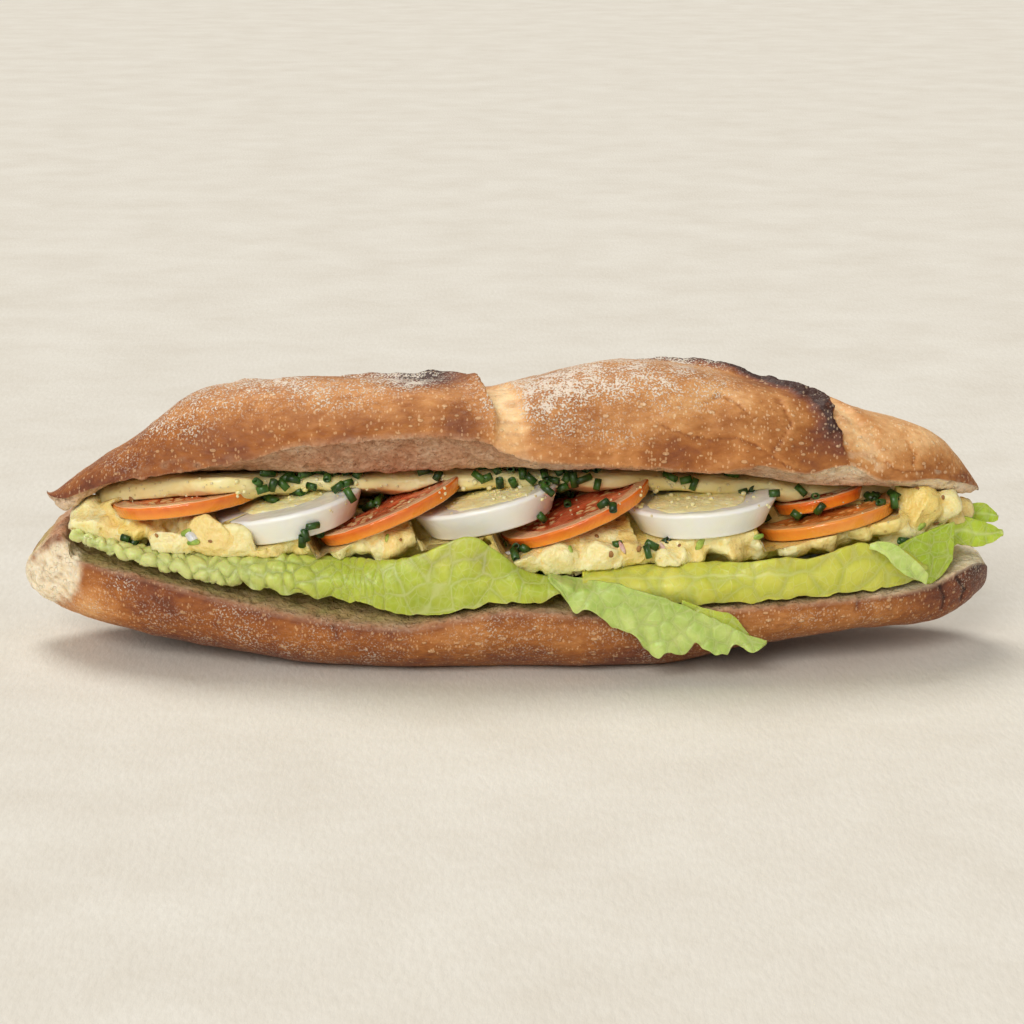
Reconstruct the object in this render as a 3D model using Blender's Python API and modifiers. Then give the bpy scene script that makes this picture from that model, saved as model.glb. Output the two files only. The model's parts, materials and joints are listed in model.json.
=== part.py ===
"""A filled baguette sandwich, lying on its flat base with its open long side towards -Y.

Two crusty halves hold lettuce, a lumpy chicken and egg mayonnaise salad, tomato and egg
slices laid like roof tiles, a thick layer of mayonnaise and chopped chives.
Metres, +Z up, +X along the loaf. The origin is the centre of the footprint, on the table.
"""

import math
import random

import bmesh
import bpy
from mathutils import Matrix, Vector, noise
from mathutils.bvhtree import BVHTree

MM = 0.001

# Driving sizes of the bread, in metres
BOTTOM_ENDS = (-144.5 * MM, 141.0 * MM)
BOTTOM_HALF_WIDTH = 37.0 * MM
BOTTOM_TIP_HEIGHT = 20.5 * MM
TOP_ENDS = (-137.2 * MM, 137.6 * MM)
TOP_HALF_WIDTH = 32.0 * MM
TOP_TIP_HEIGHT = 45.5 * MM
LOAF_BEND = 4.0 * MM

# Sizes of the filling
LEAF_THICKNESS = 0.9 * MM
EGG_THICKNESS = 8.4 * MM
TOMATO_THICKNESS = 4.0 * MM
SAUCE_SET_BACK = (3.0 * MM, 15.0 * MM)
SAUCE_BEAD = (9.5 * MM, 7.0 * MM)
SAUCE_LAYER = 4.0 * MM
SAUCE_ROOF_GAP = 0.9 * MM
CHIVE_RADIUS = 1.4 * MM
CHIVE_LENGTH = 4.6 * MM
SEAT_GAP = 0.55 * MM
BED_GAP = 1.3 * MM
SLICE_EDGE = 0.8 * MM
EGG_UNDERSIDE = 0.84
TOMATO_UNDERSIDE = 0.95
VIEW_SLOPE = math.radians(14.0)

# The salad's core and the mayonnaise: their ends, how far in from the crust, and their heights
HEAP_ENDS = (-127 * MM, 129 * MM)
HEAP_INSET = (7.5 * MM, 6 * MM)
HEAP_ROOF = (43 * MM, 36.5 * MM)
SAUCE_ENDS = (-123 * MM, 112 * MM)

# Rows of salad pieces, front and back: first and last place, spacing and size
FRONT_PIECES = ((-119 * MM, 124 * MM), (9 * MM, 11 * MM), (5 * MM, 6.6 * MM))
BACK_PIECES = ((-108 * MM, 112 * MM), (9 * MM, 12 * MM), (4.6 * MM, 6.4 * MM))
BACK_PIECE_HEIGHT = (33.5 * MM, 37 * MM)

# The leaves' ruffled edges: wave height and the two wave lengths, over a full turn
RUFFLE_HEIGHT = 0.9 * MM
RUFFLE_LENGTHS = (3.6 * MM, 2.3 * MM)

# Share of a section's points that lie on the crust, and where the crumb line lies across the top
CRUST_TURN = 16 / 24
CRUMB_LINE_SHARE = 0.22
CRUMB_HOLLOW = 4.5 * MM
CRUMB_ROUGHNESS = 0.5 * MM

# How the loaf rounds off: in plan, at its tips, and round its sections
PLAN_ROUNDNESS = 2.9
BOTTOM_TIP_FULLNESS = 0.54
TOP_TIP_FULLNESS = 0.57
BOTTOM_TIP_CAP = (18, 0.45)
TOP_TIP_CAP = (30, 0.5)
BOTTOM_SECTION = (2 / 3.0, 2 / 2.9)
TOP_SECTION = (2 / 2.4, 2 / 2.1)
CUT_RISE_POWER = 0.6
BOTTOM_SWELL = (22 * MM, 0.9 * MM)
TOP_SWELL = (20 * MM, 0.8 * MM)

# Heights along the loaf, as (place, height) pairs in millimetres
BOTTOM_RIM_FRONT = [
    (-145, 30), (-137, 35), (-131, 38.5), (-127, 31), (-120, 29), (-103, 26.5), (-88, 23), (-74, 20),
    (-60, 17.5), (-31, 14.6), (-15, 17.3), (0, 19.8), (20, 18.5), (86, 20.3), (108, 21), (123, 22.7),
    (135, 28), (141, 30),
]
BOTTOM_RIM_BACK = [(-145, 30), (-131, 38.5), (-126, 33), (-100, 29), (0, 26), (100, 27), (141, 30)]
BOTTOM_BASE = [
    (-145, 13), (-136, 10.5), (-120, 8), (-104, 5), (-81, 1.8), (-62, -0.8), (-50, -1.6), (42, -1.6),
    (53, 0.6), (65, 3.3), (97, 7.5), (127, 8.5), (141, 13),
]
TOP_CRUMB_LINE = [
    (-137, 43), (-133, 39.5), (-129, 40.5), (-125, 45), (-120, 49.6), (-115, 53), (-108, 55.6), (-95, 57.5),
    (-80, 58.2),
    (-60, 58.2), (-38, 58), (-20, 59), (-7, 59.6), (10, 59.4), (34, 58.8), (57, 57.6), (70, 56.4),
    (84, 53.5), (107, 51.4), (115, 50.8), (124, 48.2), (134, 46), (137.6, 48.5),
]
TOP_RIM_BACK = [(-137, 42), (-110, 41), (-60, 42), (0, 43), (60, 42), (110, 41), (138, 45)]
TOP_CREST = [
    (-137, 44), (-128, 51), (-117, 58), (-109, 62.5), (-97, 73), (-90, 77), (-83, 78.5), (-72, 79.5),
    (-33, 79.5), (-20, 79), (-8, 77.8), (5, 80.5), (20, 84), (41, 85.5), (61, 81.5), (74, 78.5),
    (87, 76), (98, 72), (109, 69), (124, 63), (131, 57.5), (138, 49),
]
TOP_CRUST_EDGE = [
    (-137, 45), (-131, 45.6), (-122, 50), (-110, 54), (-88, 58.7), (-73, 62.5), (-60, 66), (-38, 68.3),
    (-17, 69.3), (-7, 67.6), (0, 64), (12, 61.8), (34, 60.8), (57, 58.8), (71, 60), (84, 57.4), (96, 59),
    (107, 54), (122, 53), (131, 51), (137.6, 50),
]

# The two long slashes baked open on top, in plan, as (x, y) in millimetres
SLASHES = [
    [(-98, 15), (-60, 10), (-35, 6), (-22, 0), (-14, -10), (-8.5, -21), (-5, -33)],
    [(8, 17), (40, 11), (60, 6), (73, 1), (84, -7), (92, -15), (98, -24)],
]
EAR_HEIGHT = 2.4 * MM
EAR_SPREAD = 2.8 * MM
SLASH_WIDTH = 8.0 * MM
SLASH_DEPTH = 1.8 * MM
SLASH_EDGE = 2.0 * MM
SLASH_FADE = 3.0 * MM

# Lettuce: place, height of the upper bend, height of the front edge, and how far in the bend lies
LEFT_LEAF = [
    (-127, 37.6, 36.2, 5), (-123, 36.5, 34.5, 5), (-113, 35, 32.5, 5), (-100, 33.5, 29.5, 5),
    (-88, 33, 26.5, 5), (-75, 33.5, 25.5, 5), (-60, 33.2, 23.5, 6), (-45, 33, 22, 5), (-35, 33.5, 19.5, 3),
    (-25, 36.5, 18.2, 1.2), (-12, 41.4, 20, 0.8), (-3, 36, 22, 1.2), (5, 29.5, 22, 4), (14, 28.5, 21.5, 6),
]
RIGHT_LEAF = [
    (20, 30, 22, 6), (30, 30.8, 21.5, 6), (55, 31.7, 21.5, 5), (70, 33, 21.5, 1.5), (78, 34, 22, 1.2),
    (84, 33, 22.3, 1.2), (92, 35, 22.5, 1.2), (99.5, 36.8, 22.8, 1.2), (106, 34.6, 23, 1.5),
    (112, 34, 23.4, 2), (117, 30, 24.5, 3), (120, 28.5, 25.5, 3),
]
# The leaf that hangs over the front: place, upper edge and lower edge, in millimetres
HANGING_LEAF = [
    (9, 31.5, 29.5), (18, 30, 22), (28, 27, 15.7), (39, 23.8, 8.7), (48, 21, 8.3), (59, 17, 9.7),
    (66, 14, 9), (73, 11.4, 10.2),
]
# The two leaf tips at the right end: place, upper edge, lower edge and depth, in millimetres
END_LEAF = [
    (118.5, 34.5, 31.5, -10), (121.5, 36, 29, -10), (125, 37.3, 28.5, -9), (130.6, 39.4, 32, -7),
    (137, 37.8, 31, -4), (144.5, 34.4, 33.4, -1),
]
BACK_END_LEAF = [
    (121, 40, 35.5, 6), (128, 42, 36, 7), (135, 41, 35.5, 8), (140, 41, 35, 8), (144.2, 36.8, 35.6, 8),
]

# Slices: name, centre of the upper face, radius, roll about Y and pitch about X (millimetres, degrees)
EGG_SLICES = [
    ("egg_slice_left", (-64.8, -11.5, 46.9), 21.8, 12, 0),
    ("egg_slice_middle", (-8.0, -11.5, 48.3), 22.0, 13, 2),
    ("egg_slice_right", (54.5, -11.5, 47.9), 22.4, 5, 0),
]
TOMATO_SLICES = [
    ("tomato_slice_left", (-94.5, -7, 47.9), 22.2, 8, 4),
    ("tomato_slice_middle", (-36.2, -11.5, 45.7), 23.0, 23, 3),
    ("tomato_slice_right", (18.0, -11.5, 45.5), 23.5, 22, 0),
    ("tomato_slice_end", (91.5, -5.5, 41.8), 20.5, 13, 5),
]
BACK_THICKNESS = 3.6 * MM
BACK_SLICE = ("tomato_slice_back", (89.5, -2.5, 46.2), 13, 13, 7)

# Clusters of chives as seen from the front: centre (x, height), spread (x, height) and count
CHIVE_CLUSTERS = [
    ((-58, 49.2), (14, 3.6), 13), ((-24, 52), (3, 2), 3), ((-5, 50.4), (10, 3), 11), ((17, 48), (9, 4.2), 8),
    ((-44, 42), (6, 3), 4), ((-56.5, 33.8), (4, 3), 3), ((-67, 43), (5, 1), 2), ((23, 43), (8, 2.5), 4),
    ((7, 38.5), (1, 1), 1), ((1.5, 29), (3, 3.5), 3), ((35, 30.5), (9, 2), 3), ((50, 49), (5, 2), 3),
    ((66, 48.6), (3, 2.5), 2), ((81, 42), (8, 5.5), 6), ((110, 44), (6, 3), 5), ((-111, 32), (1.5, 2.5), 2),
    ((111.5, 33), (2, 1), 1),
]
# The salad's largest pieces, pushed out past the slices: place and size in millimetres
BIG_LUMPS = [
    ((-121, -9, 37.8), 7.4), ((-113, -13, 36), 6), ((-125, -3, 38.5), 5.4), ((-95, -24, 36), 6.5),
    ((-87, -27, 39.5), 7.4), ((-79, -28, 38), 6.2), ((-71, -29, 36), 5.2), ((5, -29, 33), 5.5),
    ((14, -30, 32.5), 6), ((25, -30, 34), 7), ((33, -30, 36), 5), ((44, -29, 33), 5), ((108, -12, 42), 7.5),
    ((117, -8, 44), 7), ((125, -4, 44), 6.5), ((113, -14, 37), 6), ((130, 0, 40), 5.5),
]
CHIVE_SEED = 11
LUMP_SEED = 5


def along(stations, x, column=1):
    """Height in metres at place x on a smooth curve through (place, height) pairs in millimetres."""
    place = x / MM
    if place <= stations[0][0]:
        return stations[0][column] * MM
    if place >= stations[-1][0]:
        return stations[-1][column] * MM
    i = max(k for k in range(len(stations) - 1) if stations[k][0] <= place)
    before = stations[max(i - 1, 0)]
    start, end = stations[i], stations[i + 1]
    after = stations[min(i + 2, len(stations) - 1)]
    span = end[0] - start[0]
    t = (place - start[0]) / span
    leave = (end[column] - before[column]) / (end[0] - before[0]) * span
    arrive = (after[column] - start[column]) / (after[0] - start[0]) * span
    height = (
        (2 * t**3 - 3 * t**2 + 1) * start[column]
        + (t**3 - 2 * t**2 + t) * leave
        + (3 * t**2 - 2 * t**3) * end[column]
        + (t**3 - t**2) * arrive
    )
    return height * MM


def clamp(value, low=0.0, high=1.0):
    return max(low, min(high, value))


def smooth_step(value):
    value = clamp(value)
    return value * value * (3 - 2 * value)


def mix(a, b, share):
    return a + (b - a) * share


def signed_power(value, exponent):
    return math.copysign(abs(value) ** exponent, value)


def lumps(point, size, amount):
    """Smooth uneven relief with features about as large as size."""
    return noise.noise(Vector(point) / size) * amount


def share_along(ends, x):
    """-1 at the left tip, 0 in the middle and 1 at the right tip."""
    return clamp((2 * x - ends[0] - ends[1]) / (ends[1] - ends[0]), -1, 1)


def bottom_half_width(x):
    share = abs(share_along(BOTTOM_ENDS, x))
    return BOTTOM_HALF_WIDTH * (1 - share**PLAN_ROUNDNESS) ** BOTTOM_TIP_FULLNESS


def top_half_width(x):
    share = abs(share_along(TOP_ENDS, x))
    return TOP_HALF_WIDTH * (1 - share**PLAN_ROUNDNESS) ** TOP_TIP_FULLNESS


def bend(x):
    """How far the loaf's ends curve away from the open side."""
    return LOAF_BEND * share_along(BOTTOM_ENDS, x) ** 2


def end_cap(share, sharpness, roundness):
    """1 along the loaf, falling to 0 at its very tips."""
    return (1 - abs(share) ** sharpness) ** roundness


def bottom_cut_height(x, y):
    """Height of the lower half's cut face, which rises from the front rim to the back rim."""
    width = max(bottom_half_width(x), 1 * MM)
    cap = end_cap(share_along(BOTTOM_ENDS, x), *BOTTOM_TIP_CAP)
    front = mix(BOTTOM_TIP_HEIGHT, along(BOTTOM_RIM_FRONT, x), cap)
    back = mix(BOTTOM_TIP_HEIGHT, along(BOTTOM_RIM_BACK, x), cap)
    across = clamp((y - bend(x) + width) / (2 * width))
    return mix(front, back, across**CUT_RISE_POWER)


def top_cut_height(x, y):
    """Height of the upper half's cut face: the crust edge in front, the crumb line, then the back."""
    width = max(top_half_width(x), 1 * MM)
    across = clamp((y - bend(x) + width) / (2 * width))
    hollow = CRUMB_HOLLOW * math.sin(math.pi * across) ** 2 * clamp(width / TOP_HALF_WIDTH)
    cap = end_cap(share_along(TOP_ENDS, x), *TOP_TIP_CAP)
    crumb = mix(along(TOP_CRUMB_LINE, x), along(TOP_RIM_BACK, x), across)
    lip = (1 - smooth_step(across / CRUMB_LINE_SHARE)) ** 1.5
    height = mix(crumb, along(TOP_CRUST_EDGE, x), lip)
    return mix(TOP_TIP_HEIGHT, height, cap) + hollow


def slash_distance(x, y):
    """Signed distance in plan to the nearest slash: negative on its raised ear's side."""
    best = 1.0
    for slash in SLASHES:
        for (ax, ay), (bx, by) in zip(slash, slash[1:]):
            a, b = Vector((ax, ay)) * MM, Vector((bx, by)) * MM
            run = b - a
            offset = Vector((x, y)) - a
            t = clamp(offset.dot(run) / run.length_squared)
            gap = offset - run * t
            side = 1 if run.x * offset.y - run.y * offset.x > 0 else -1
            if gap.length < abs(best):
                best = gap.length * side
    return best


def slash_relief(x, y):
    """The ear stands up on one side of a slash, and the opened crumb lies lower on the other."""
    gap = slash_distance(x, y)
    ear = EAR_HEIGHT * math.exp(-((gap / EAR_SPREAD) ** 2)) if gap < EAR_SPREAD else 0.0
    fade = 1 - smooth_step((gap - SLASH_WIDTH) / SLASH_FADE)
    opened = SLASH_DEPTH * smooth_step(gap / SLASH_EDGE) * fade
    return ear - opened * (gap > 0)


def bottom_bread_point(share, turn):
    """A point of the lower half: share runs from tip to tip, turn round the section."""
    low, high = BOTTOM_ENDS
    x = mix(low, high, (share + 1) / 2)
    width = bottom_half_width(x)
    if turn > CRUST_TURN:
        across = (turn - CRUST_TURN) / (1 - CRUST_TURN)
        y = bend(x) + mix(-width, width, across)
        rough = lumps((x, y, 0.3), 9 * MM, CRUMB_ROUGHNESS) * (0 < across < 1)
        return Vector((x, y, bottom_cut_height(x, y) + rough))
    angle = math.pi * turn / CRUST_TURN
    y = bend(x) + width * signed_power(math.cos(angle), BOTTOM_SECTION[0])
    rim = bottom_cut_height(x, bend(x) + math.copysign(width, math.cos(angle)))
    base = mix(BOTTOM_TIP_HEIGHT, along(BOTTOM_BASE, x), end_cap(share, *BOTTOM_TIP_CAP))
    depth = math.sin(angle) ** BOTTOM_SECTION[1]
    z = mix(rim, base, depth)
    swell = lumps((x, y, z), *BOTTOM_SWELL) * depth
    return Vector((x, y - swell * (y < 0), max(z, 0.0)))


def top_bread_point(share, turn):
    """A point of the upper half, from the back rim over the crest to the front rim."""
    low, high = TOP_ENDS
    x = mix(low, high, (share + 1) / 2)
    width = top_half_width(x)
    if turn > CRUST_TURN:
        across = (turn - CRUST_TURN) / (1 - CRUST_TURN)
        y = bend(x) + mix(-width, width, across)
        return Vector((x, y, top_cut_height(x, y)))
    angle = math.pi * turn / CRUST_TURN
    rise = math.sin(angle) ** TOP_SECTION[1]
    y = bend(x) + width * signed_power(math.cos(angle), TOP_SECTION[0])
    front = top_cut_height(x, bend(x) - width)
    back = top_cut_height(x, bend(x) + width)
    line = mix(front, back, (1 + math.cos(angle)) / 2)
    crest = mix(TOP_TIP_HEIGHT, along(TOP_CREST, x), end_cap(share, *TOP_TIP_CAP))
    z = line + (crest - (front + back) / 2) * rise
    relief = slash_relief(x, y) * min(1, rise * 1.6) + lumps((x, y, z), *TOP_SWELL) * rise
    z += relief * end_cap(share, 6, 0.5)
    return Vector((x, y, z))


def new_collection(name):
    made = bpy.data.collections.new(name)
    bpy.context.scene.collection.children.link(made)
    return made


def move_to(obj, collection):
    for old in list(obj.users_collection):
        old.objects.unlink(obj)
    collection.objects.link(obj)
    return obj


def material(name, colour, roughness):
    made = bpy.data.materials.new(name)
    made.use_nodes = True
    shader = made.node_tree.nodes["Principled BSDF"]
    shader.inputs["Base Color"].default_value = (*colour, 1)
    shader.inputs["Roughness"].default_value = roughness
    shader.inputs["Metallic"].default_value = 0.0
    return made


def finished(obj, name, finish, collection):
    obj.name = name
    obj.data.name = name
    obj.data.materials.clear()
    obj.data.materials.append(finish)
    obj.data.shade_smooth()
    obj.data.set_sharp_from_angle(angle=math.radians(40))
    return move_to(obj, collection)


def tube_of_rings(rings, segments, point):
    """A UV sphere whose poles become the two tips, with every other point placed by the function."""
    bpy.ops.mesh.primitive_uv_sphere_add(segments=segments, ring_count=rings, radius=1)
    obj = bpy.context.object
    for vertex in obj.data.vertices:
        polar = math.acos(clamp(vertex.co.z, -1, 1)) / math.pi
        share = mix(2 * polar - 1, -math.cos(math.pi * polar), 0.55)
        turn = (math.atan2(vertex.co.y, vertex.co.x) / math.tau) % 1
        turn = math.floor(turn * segments + 0.25) % segments / segments
        vertex.co = point(share, turn)
    return face_outwards(obj)


def face_outwards(obj):
    mesh = bmesh.new()
    mesh.from_mesh(obj.data)
    bmesh.ops.recalc_face_normals(mesh, faces=mesh.faces)
    mesh.to_mesh(obj.data)
    mesh.free()
    return obj


def grid(columns, rows, point):
    """A plane divided into columns and rows, with each point placed by the function of two shares."""
    bpy.ops.mesh.primitive_grid_add(x_subdivisions=columns, y_subdivisions=rows, size=2)
    obj = bpy.context.object
    for vertex in obj.data.vertices:
        vertex.co = point((vertex.co.x + 1) / 2, (vertex.co.y + 1) / 2)
    return obj


def leaf_sheet(columns, rows, point, thickness):
    """A thin wavy leaf: the sheet is split into triangles first, so both its faces match."""
    obj = grid(columns, rows, point)
    triangulate = obj.modifiers.new("split", "TRIANGULATE")
    triangulate.quad_method = "FIXED"
    solidify = obj.modifiers.new("thickness", "SOLIDIFY")
    solidify.thickness = thickness
    solidify.offset = 0
    return obj


def on_path(points, t):
    """A point on a smooth path through the points, t from 0 to 1."""
    spans = len(points) - 1
    i = min(int(t * spans), spans - 1)
    local = t * spans - i
    before, start, end = points[max(i - 1, 0)], points[i], points[i + 1]
    after = points[min(i + 2, spans)]
    return 0.5 * (
        2 * start
        + (end - before) * local
        + (2 * before - 5 * start + 4 * end - after) * local**2
        + (3 * start - 3 * end + after - before) * local**3
    )


def through_leaf_point(stations, x, t):
    """A leaf that runs through the sandwich: front edge, upper bend, bed on the bread, back edge."""
    front, back = bend(x) - bottom_half_width(x), bend(x) + bottom_half_width(x)
    top, low = along(stations, x, 1), along(stations, x, 2)
    room = clamp(bottom_half_width(x) / (30 * MM), 0.35, 1)
    rim = bottom_cut_height(x, front)
    bed = BED_GAP + 1.6 * MM * smooth_step((abs(x) - 112 * MM) / (12 * MM))
    edge_y = front + 1.5 * MM
    inset = along(stations, x, 3)
    tall = 1 - smooth_step((inset - 1 * MM) / (4 * MM))
    inset *= mix(room, 1, tall)
    lowered = min(top - 1 * MM, 29.5 * MM)
    path = [
        Vector((edge_y, max(low, rim + 1.6 * MM))),
        Vector((front + 0.2 * MM, mix(low, top, 0.5) + 0.8 * MM)),
        Vector((front + inset, top)),
        Vector((front + inset + mix(5 * MM * room, 0.8 * MM, tall), mix(top - 1 * MM, lowered, tall))),
        Vector((front + 17 * MM * room, mix(bottom_cut_height(x, front + 17 * MM * room) + bed, top, 0.3))),
        Vector((bend(x), bottom_cut_height(x, bend(x)) + bed + 0.6 * MM)),
        Vector((back - 9 * MM * room, bottom_cut_height(x, back - 9 * MM * room) + bed + 0.4 * MM)),
        Vector((back + 2.6 * MM, bottom_cut_height(x, back) + bed + 0.6 * MM)),
    ]
    return on_path(path, t)


def ruffle(x, t):
    """Waves that grow towards the leaf's front and back edges."""
    edge = max(1 - t / 0.25, (t - 0.85) / 0.15, 0)
    wave = math.sin(x / RUFFLE_LENGTHS[0]) + 0.6 * math.sin(x / RUFFLE_LENGTHS[1] + 1.3)
    return edge * wave * RUFFLE_HEIGHT


def through_leaf(name, stations, columns, rows, thickness=LEAF_THICKNESS):
    low, high = stations[0][0] * MM, stations[-1][0] * MM

    def point(s, t):
        x = mix(low, high, s)
        across = through_leaf_point(stations, x, t)
        lift = ruffle(x, t)
        return Vector((x, across.x - max(lift, 0) * (t < 0.3), across.y + abs(lift) * 0.7))

    obj = leaf_sheet(columns, rows, point, thickness)
    obj.name = name
    return obj


def crust_front(x, z):
    """How far forward the lower half's crust reaches at a height."""
    rim = bottom_cut_height(x, bend(x) - bottom_half_width(x))
    depth = clamp((rim - z) / max(rim, 1 * MM))
    across_power, depth_power = BOTTOM_SECTION
    return bend(x) - bottom_half_width(x) * (1 - depth ** (2 / depth_power)) ** (across_power / 2)


def hanging_leaf(name, columns, rows, thickness=LEAF_THICKNESS):
    """The leaf that comes out between the other two and hangs over the front crust."""
    low, high = HANGING_LEAF[0][0] * MM, HANGING_LEAF[-1][0] * MM

    def point(s, t):
        x = mix(low, high, s)
        top, bottom = along(HANGING_LEAF, x, 1), along(HANGING_LEAF, x, 2)
        z = mix(bottom, top, t)
        rim_y = bend(x) - bottom_half_width(x)
        stand_off = mix(3.4 * MM, 2.8 * MM, t) + abs(ruffle(x + 2 * MM, t * 0.2)) * 0.8
        y = min(crust_front(x, min(z, 16 * MM)), rim_y) - stand_off
        root = smooth_step((t - 0.6) / 0.4) * (1 - smooth_step((x - 16 * MM) / (10 * MM)))
        return Vector((x, y + 9 * MM * root, z + 2.4 * MM * root))

    obj = leaf_sheet(columns, rows, point, thickness)
    obj.name = name
    return obj


def end_leaf(name, stations, columns, rows, inward, thickness=LEAF_THICKNESS):
    """A leaf tip that sticks out of the right end, with its root curling under the salad."""
    low, high = stations[0][0] * MM, stations[-1][0] * MM

    def point(s, t):
        x = mix(low, high, s)
        top, bottom = along(stations, x, 1), along(stations, x, 2)
        curl = inward * (1 - s) * smooth_step(t) * 5 * MM
        wave = 0.9 * MM * math.sin(x / (2.6 * MM) + 3 * t)
        y = along(stations, x, 3) + curl + wave * s
        return Vector((x, y, mix(bottom, top, t)))

    obj = leaf_sheet(columns, rows, point, thickness)
    obj.name = name
    return obj


def slice_frame(centre, roll, pitch):
    """Where a slice lies: its upper face's centre, its right side up and its front side up."""
    place = Matrix.Translation(Vector(centre) * MM)
    rolled = Matrix.Rotation(math.radians(-roll), 4, "Y")
    return place @ rolled @ Matrix.Rotation(math.radians(-pitch), 4, "X")


def round_slice(centre, radius, roll, pitch, thickness, underside, edge, segments, grow=0.0):
    """A slice with rounded edges and a narrower underside, its upper face in its own frame at zero."""
    bpy.ops.mesh.primitive_cylinder_add(
        vertices=segments, radius=radius * MM + grow, depth=thickness + 2 * grow, location=(0, 0, 0)
    )
    obj = bpy.context.object
    obj.data.transform(Matrix.Translation((0, 0, -thickness / 2)))
    for vertex in obj.data.vertices:
        if vertex.co.z < -thickness / 2:
            vertex.co.x *= underside
            vertex.co.y *= underside
        angle = math.atan2(vertex.co.y, vertex.co.x)
        uneven = 1 + 0.012 * math.sin(2 * angle + radius) + 0.008 * math.sin(5 * angle)
        vertex.co.x *= uneven
        vertex.co.y *= uneven
    obj.data.transform(slice_frame(centre, roll, pitch))
    if edge:
        bevel = obj.modifiers.new("round edge", "BEVEL")
        bevel.width = edge
        bevel.limit_method = "ANGLE"
        bevel.angle_limit = math.radians(50)
    return applied(obj)


def applied(obj):
    """Applies every modifier of the object."""
    graph = bpy.context.evaluated_depsgraph_get()
    mesh = bpy.data.meshes.new_from_object(obj.evaluated_get(graph))
    obj.modifiers.clear()
    old = obj.data
    obj.data = mesh
    bpy.data.meshes.remove(old)
    return obj


def thinned(obj, share):
    """Keeps about this share of the object's triangles."""
    decimate = obj.modifiers.new("few sides", "DECIMATE")
    decimate.ratio = share
    return applied(obj)


def heap_point(share, turn):
    """The bare core of the salad: it lies on the lettuce and fills up to the slices."""
    x = mix(*HEAP_ENDS, (share + 1) / 2)
    half = end_cap(share, 5, 0.5)
    front = bend(x) - (bottom_half_width(x) - HEAP_INSET[0]) * half
    back = bend(x) + (bottom_half_width(x) - HEAP_INSET[1]) * half
    stations = LEFT_LEAF if x < 17 * MM else RIGHT_LEAF
    angle = math.tau * turn
    y = mix(front, back, (1 + signed_power(math.cos(angle), 2 / 3)) / 2)
    forward = 1 - smooth_step((y - front) / (18 * MM))
    bed = bottom_cut_height(x, y) + BED_GAP + 2.2 * MM
    floor = mix(bed, max(bed, min(along(stations, x, 1), 37 * MM) + 1.2 * MM), forward)
    roof = mix(*HEAP_ROOF, smooth_step(y / (26 * MM)))
    roof = max(roof + 3 * MM * smooth_step((abs(x) - 80 * MM) / (25 * MM)), floor + 2 * MM)
    middle, depth = (floor + roof) / 2, (roof - floor) / 2 * max(half, 0.05)
    z = middle + depth * signed_power(math.sin(angle), 2 / 3)
    return Vector((x, y, z))


def lump(place, size, draw):
    """One chicken or egg piece, coated in mayonnaise: an uneven rounded chunk."""
    bpy.ops.mesh.primitive_ico_sphere_add(subdivisions=2, radius=1)
    obj = bpy.context.object
    turn = Matrix.Rotation(draw.uniform(0, math.tau), 3, "Z")
    turn = turn @ Matrix.Rotation(draw.uniform(-0.6, 0.6), 3, "X")
    stretch = Vector((draw.uniform(0.8, 1.25), draw.uniform(0.75, 1.0), draw.uniform(0.7, 1.0)))
    offset = Vector((draw.uniform(0, 9), draw.uniform(0, 9), draw.uniform(0, 9)))
    for vertex in obj.data.vertices:
        uneven = 1 + 0.25 * noise.noise(vertex.co * 1.4 + offset)
        vertex.co = place + turn @ (vertex.co * uneven * size * stretch)
    return thinned(obj, 0.32)


def lump_places(draw):
    """Where the salad's pieces show: along the front, over both ends and along the back."""
    places = [(Vector(place) * MM, size * MM) for place, size in BIG_LUMPS]
    (x, last), spacing, sizes = FRONT_PIECES
    while x < last:
        front = bend(x) - bottom_half_width(x)
        stations = LEFT_LEAF if x < 17 * MM else RIGHT_LEAF
        height = max(along(stations, x, 1), 32 * MM) + draw.uniform(3.5, 6) * MM
        place = Vector((x, front + draw.uniform(10, 12) * MM, height))
        places.append((place, draw.uniform(*sizes)))
        x += draw.uniform(*spacing)
    (x, last), spacing, sizes = BACK_PIECES
    while x < last:
        back = bend(x) + bottom_half_width(x)
        size = draw.uniform(*sizes)
        place = Vector((x, back - draw.uniform(7, 9) * MM, draw.uniform(*BACK_PIECE_HEIGHT)))
        places.append((place, size))
        x += draw.uniform(*spacing)
    return places


def mayonnaise_point(share, turn):
    """A thick spread layer under the upper half, with a fat rounded bead along its front."""
    x = mix(*SAUCE_ENDS, (share + 1) / 2)
    half = end_cap(share, 9, 0.5)
    set_back = mix(*SAUCE_SET_BACK, smooth_step((x + 78 * MM) / (14 * MM)))
    front = mix(bend(x), bend(x) - max(top_half_width(x) - set_back, 1 * MM), half)
    back = bend(x) + max(top_half_width(x) - 5 * MM, 1 * MM) * half
    angle = math.tau * turn
    across = (1 + signed_power(math.cos(angle), 2 / 3)) / 2
    y = mix(front, back, across)
    roof = top_cut_height(x, y) - SAUCE_ROOF_GAP
    bead = mix(*SAUCE_BEAD, smooth_step((x + 70 * MM) / (20 * MM)))
    drop = mix(bead, SAUCE_LAYER, smooth_step(across * 1.2)) * mix(0.35, 1, half)
    floor = roof - drop + lumps((x, y, 0), 14 * MM, 0.8 * MM) * half
    middle, depth = (roof + floor) / 2, (roof - floor) / 2
    wave = 1.2 * MM * noise.noise(Vector((x / (11 * MM), 4.2, 0))) * (1 - across)
    return Vector((x, y + wave, middle + depth * signed_power(math.sin(angle), 2 / 3)))


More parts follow.
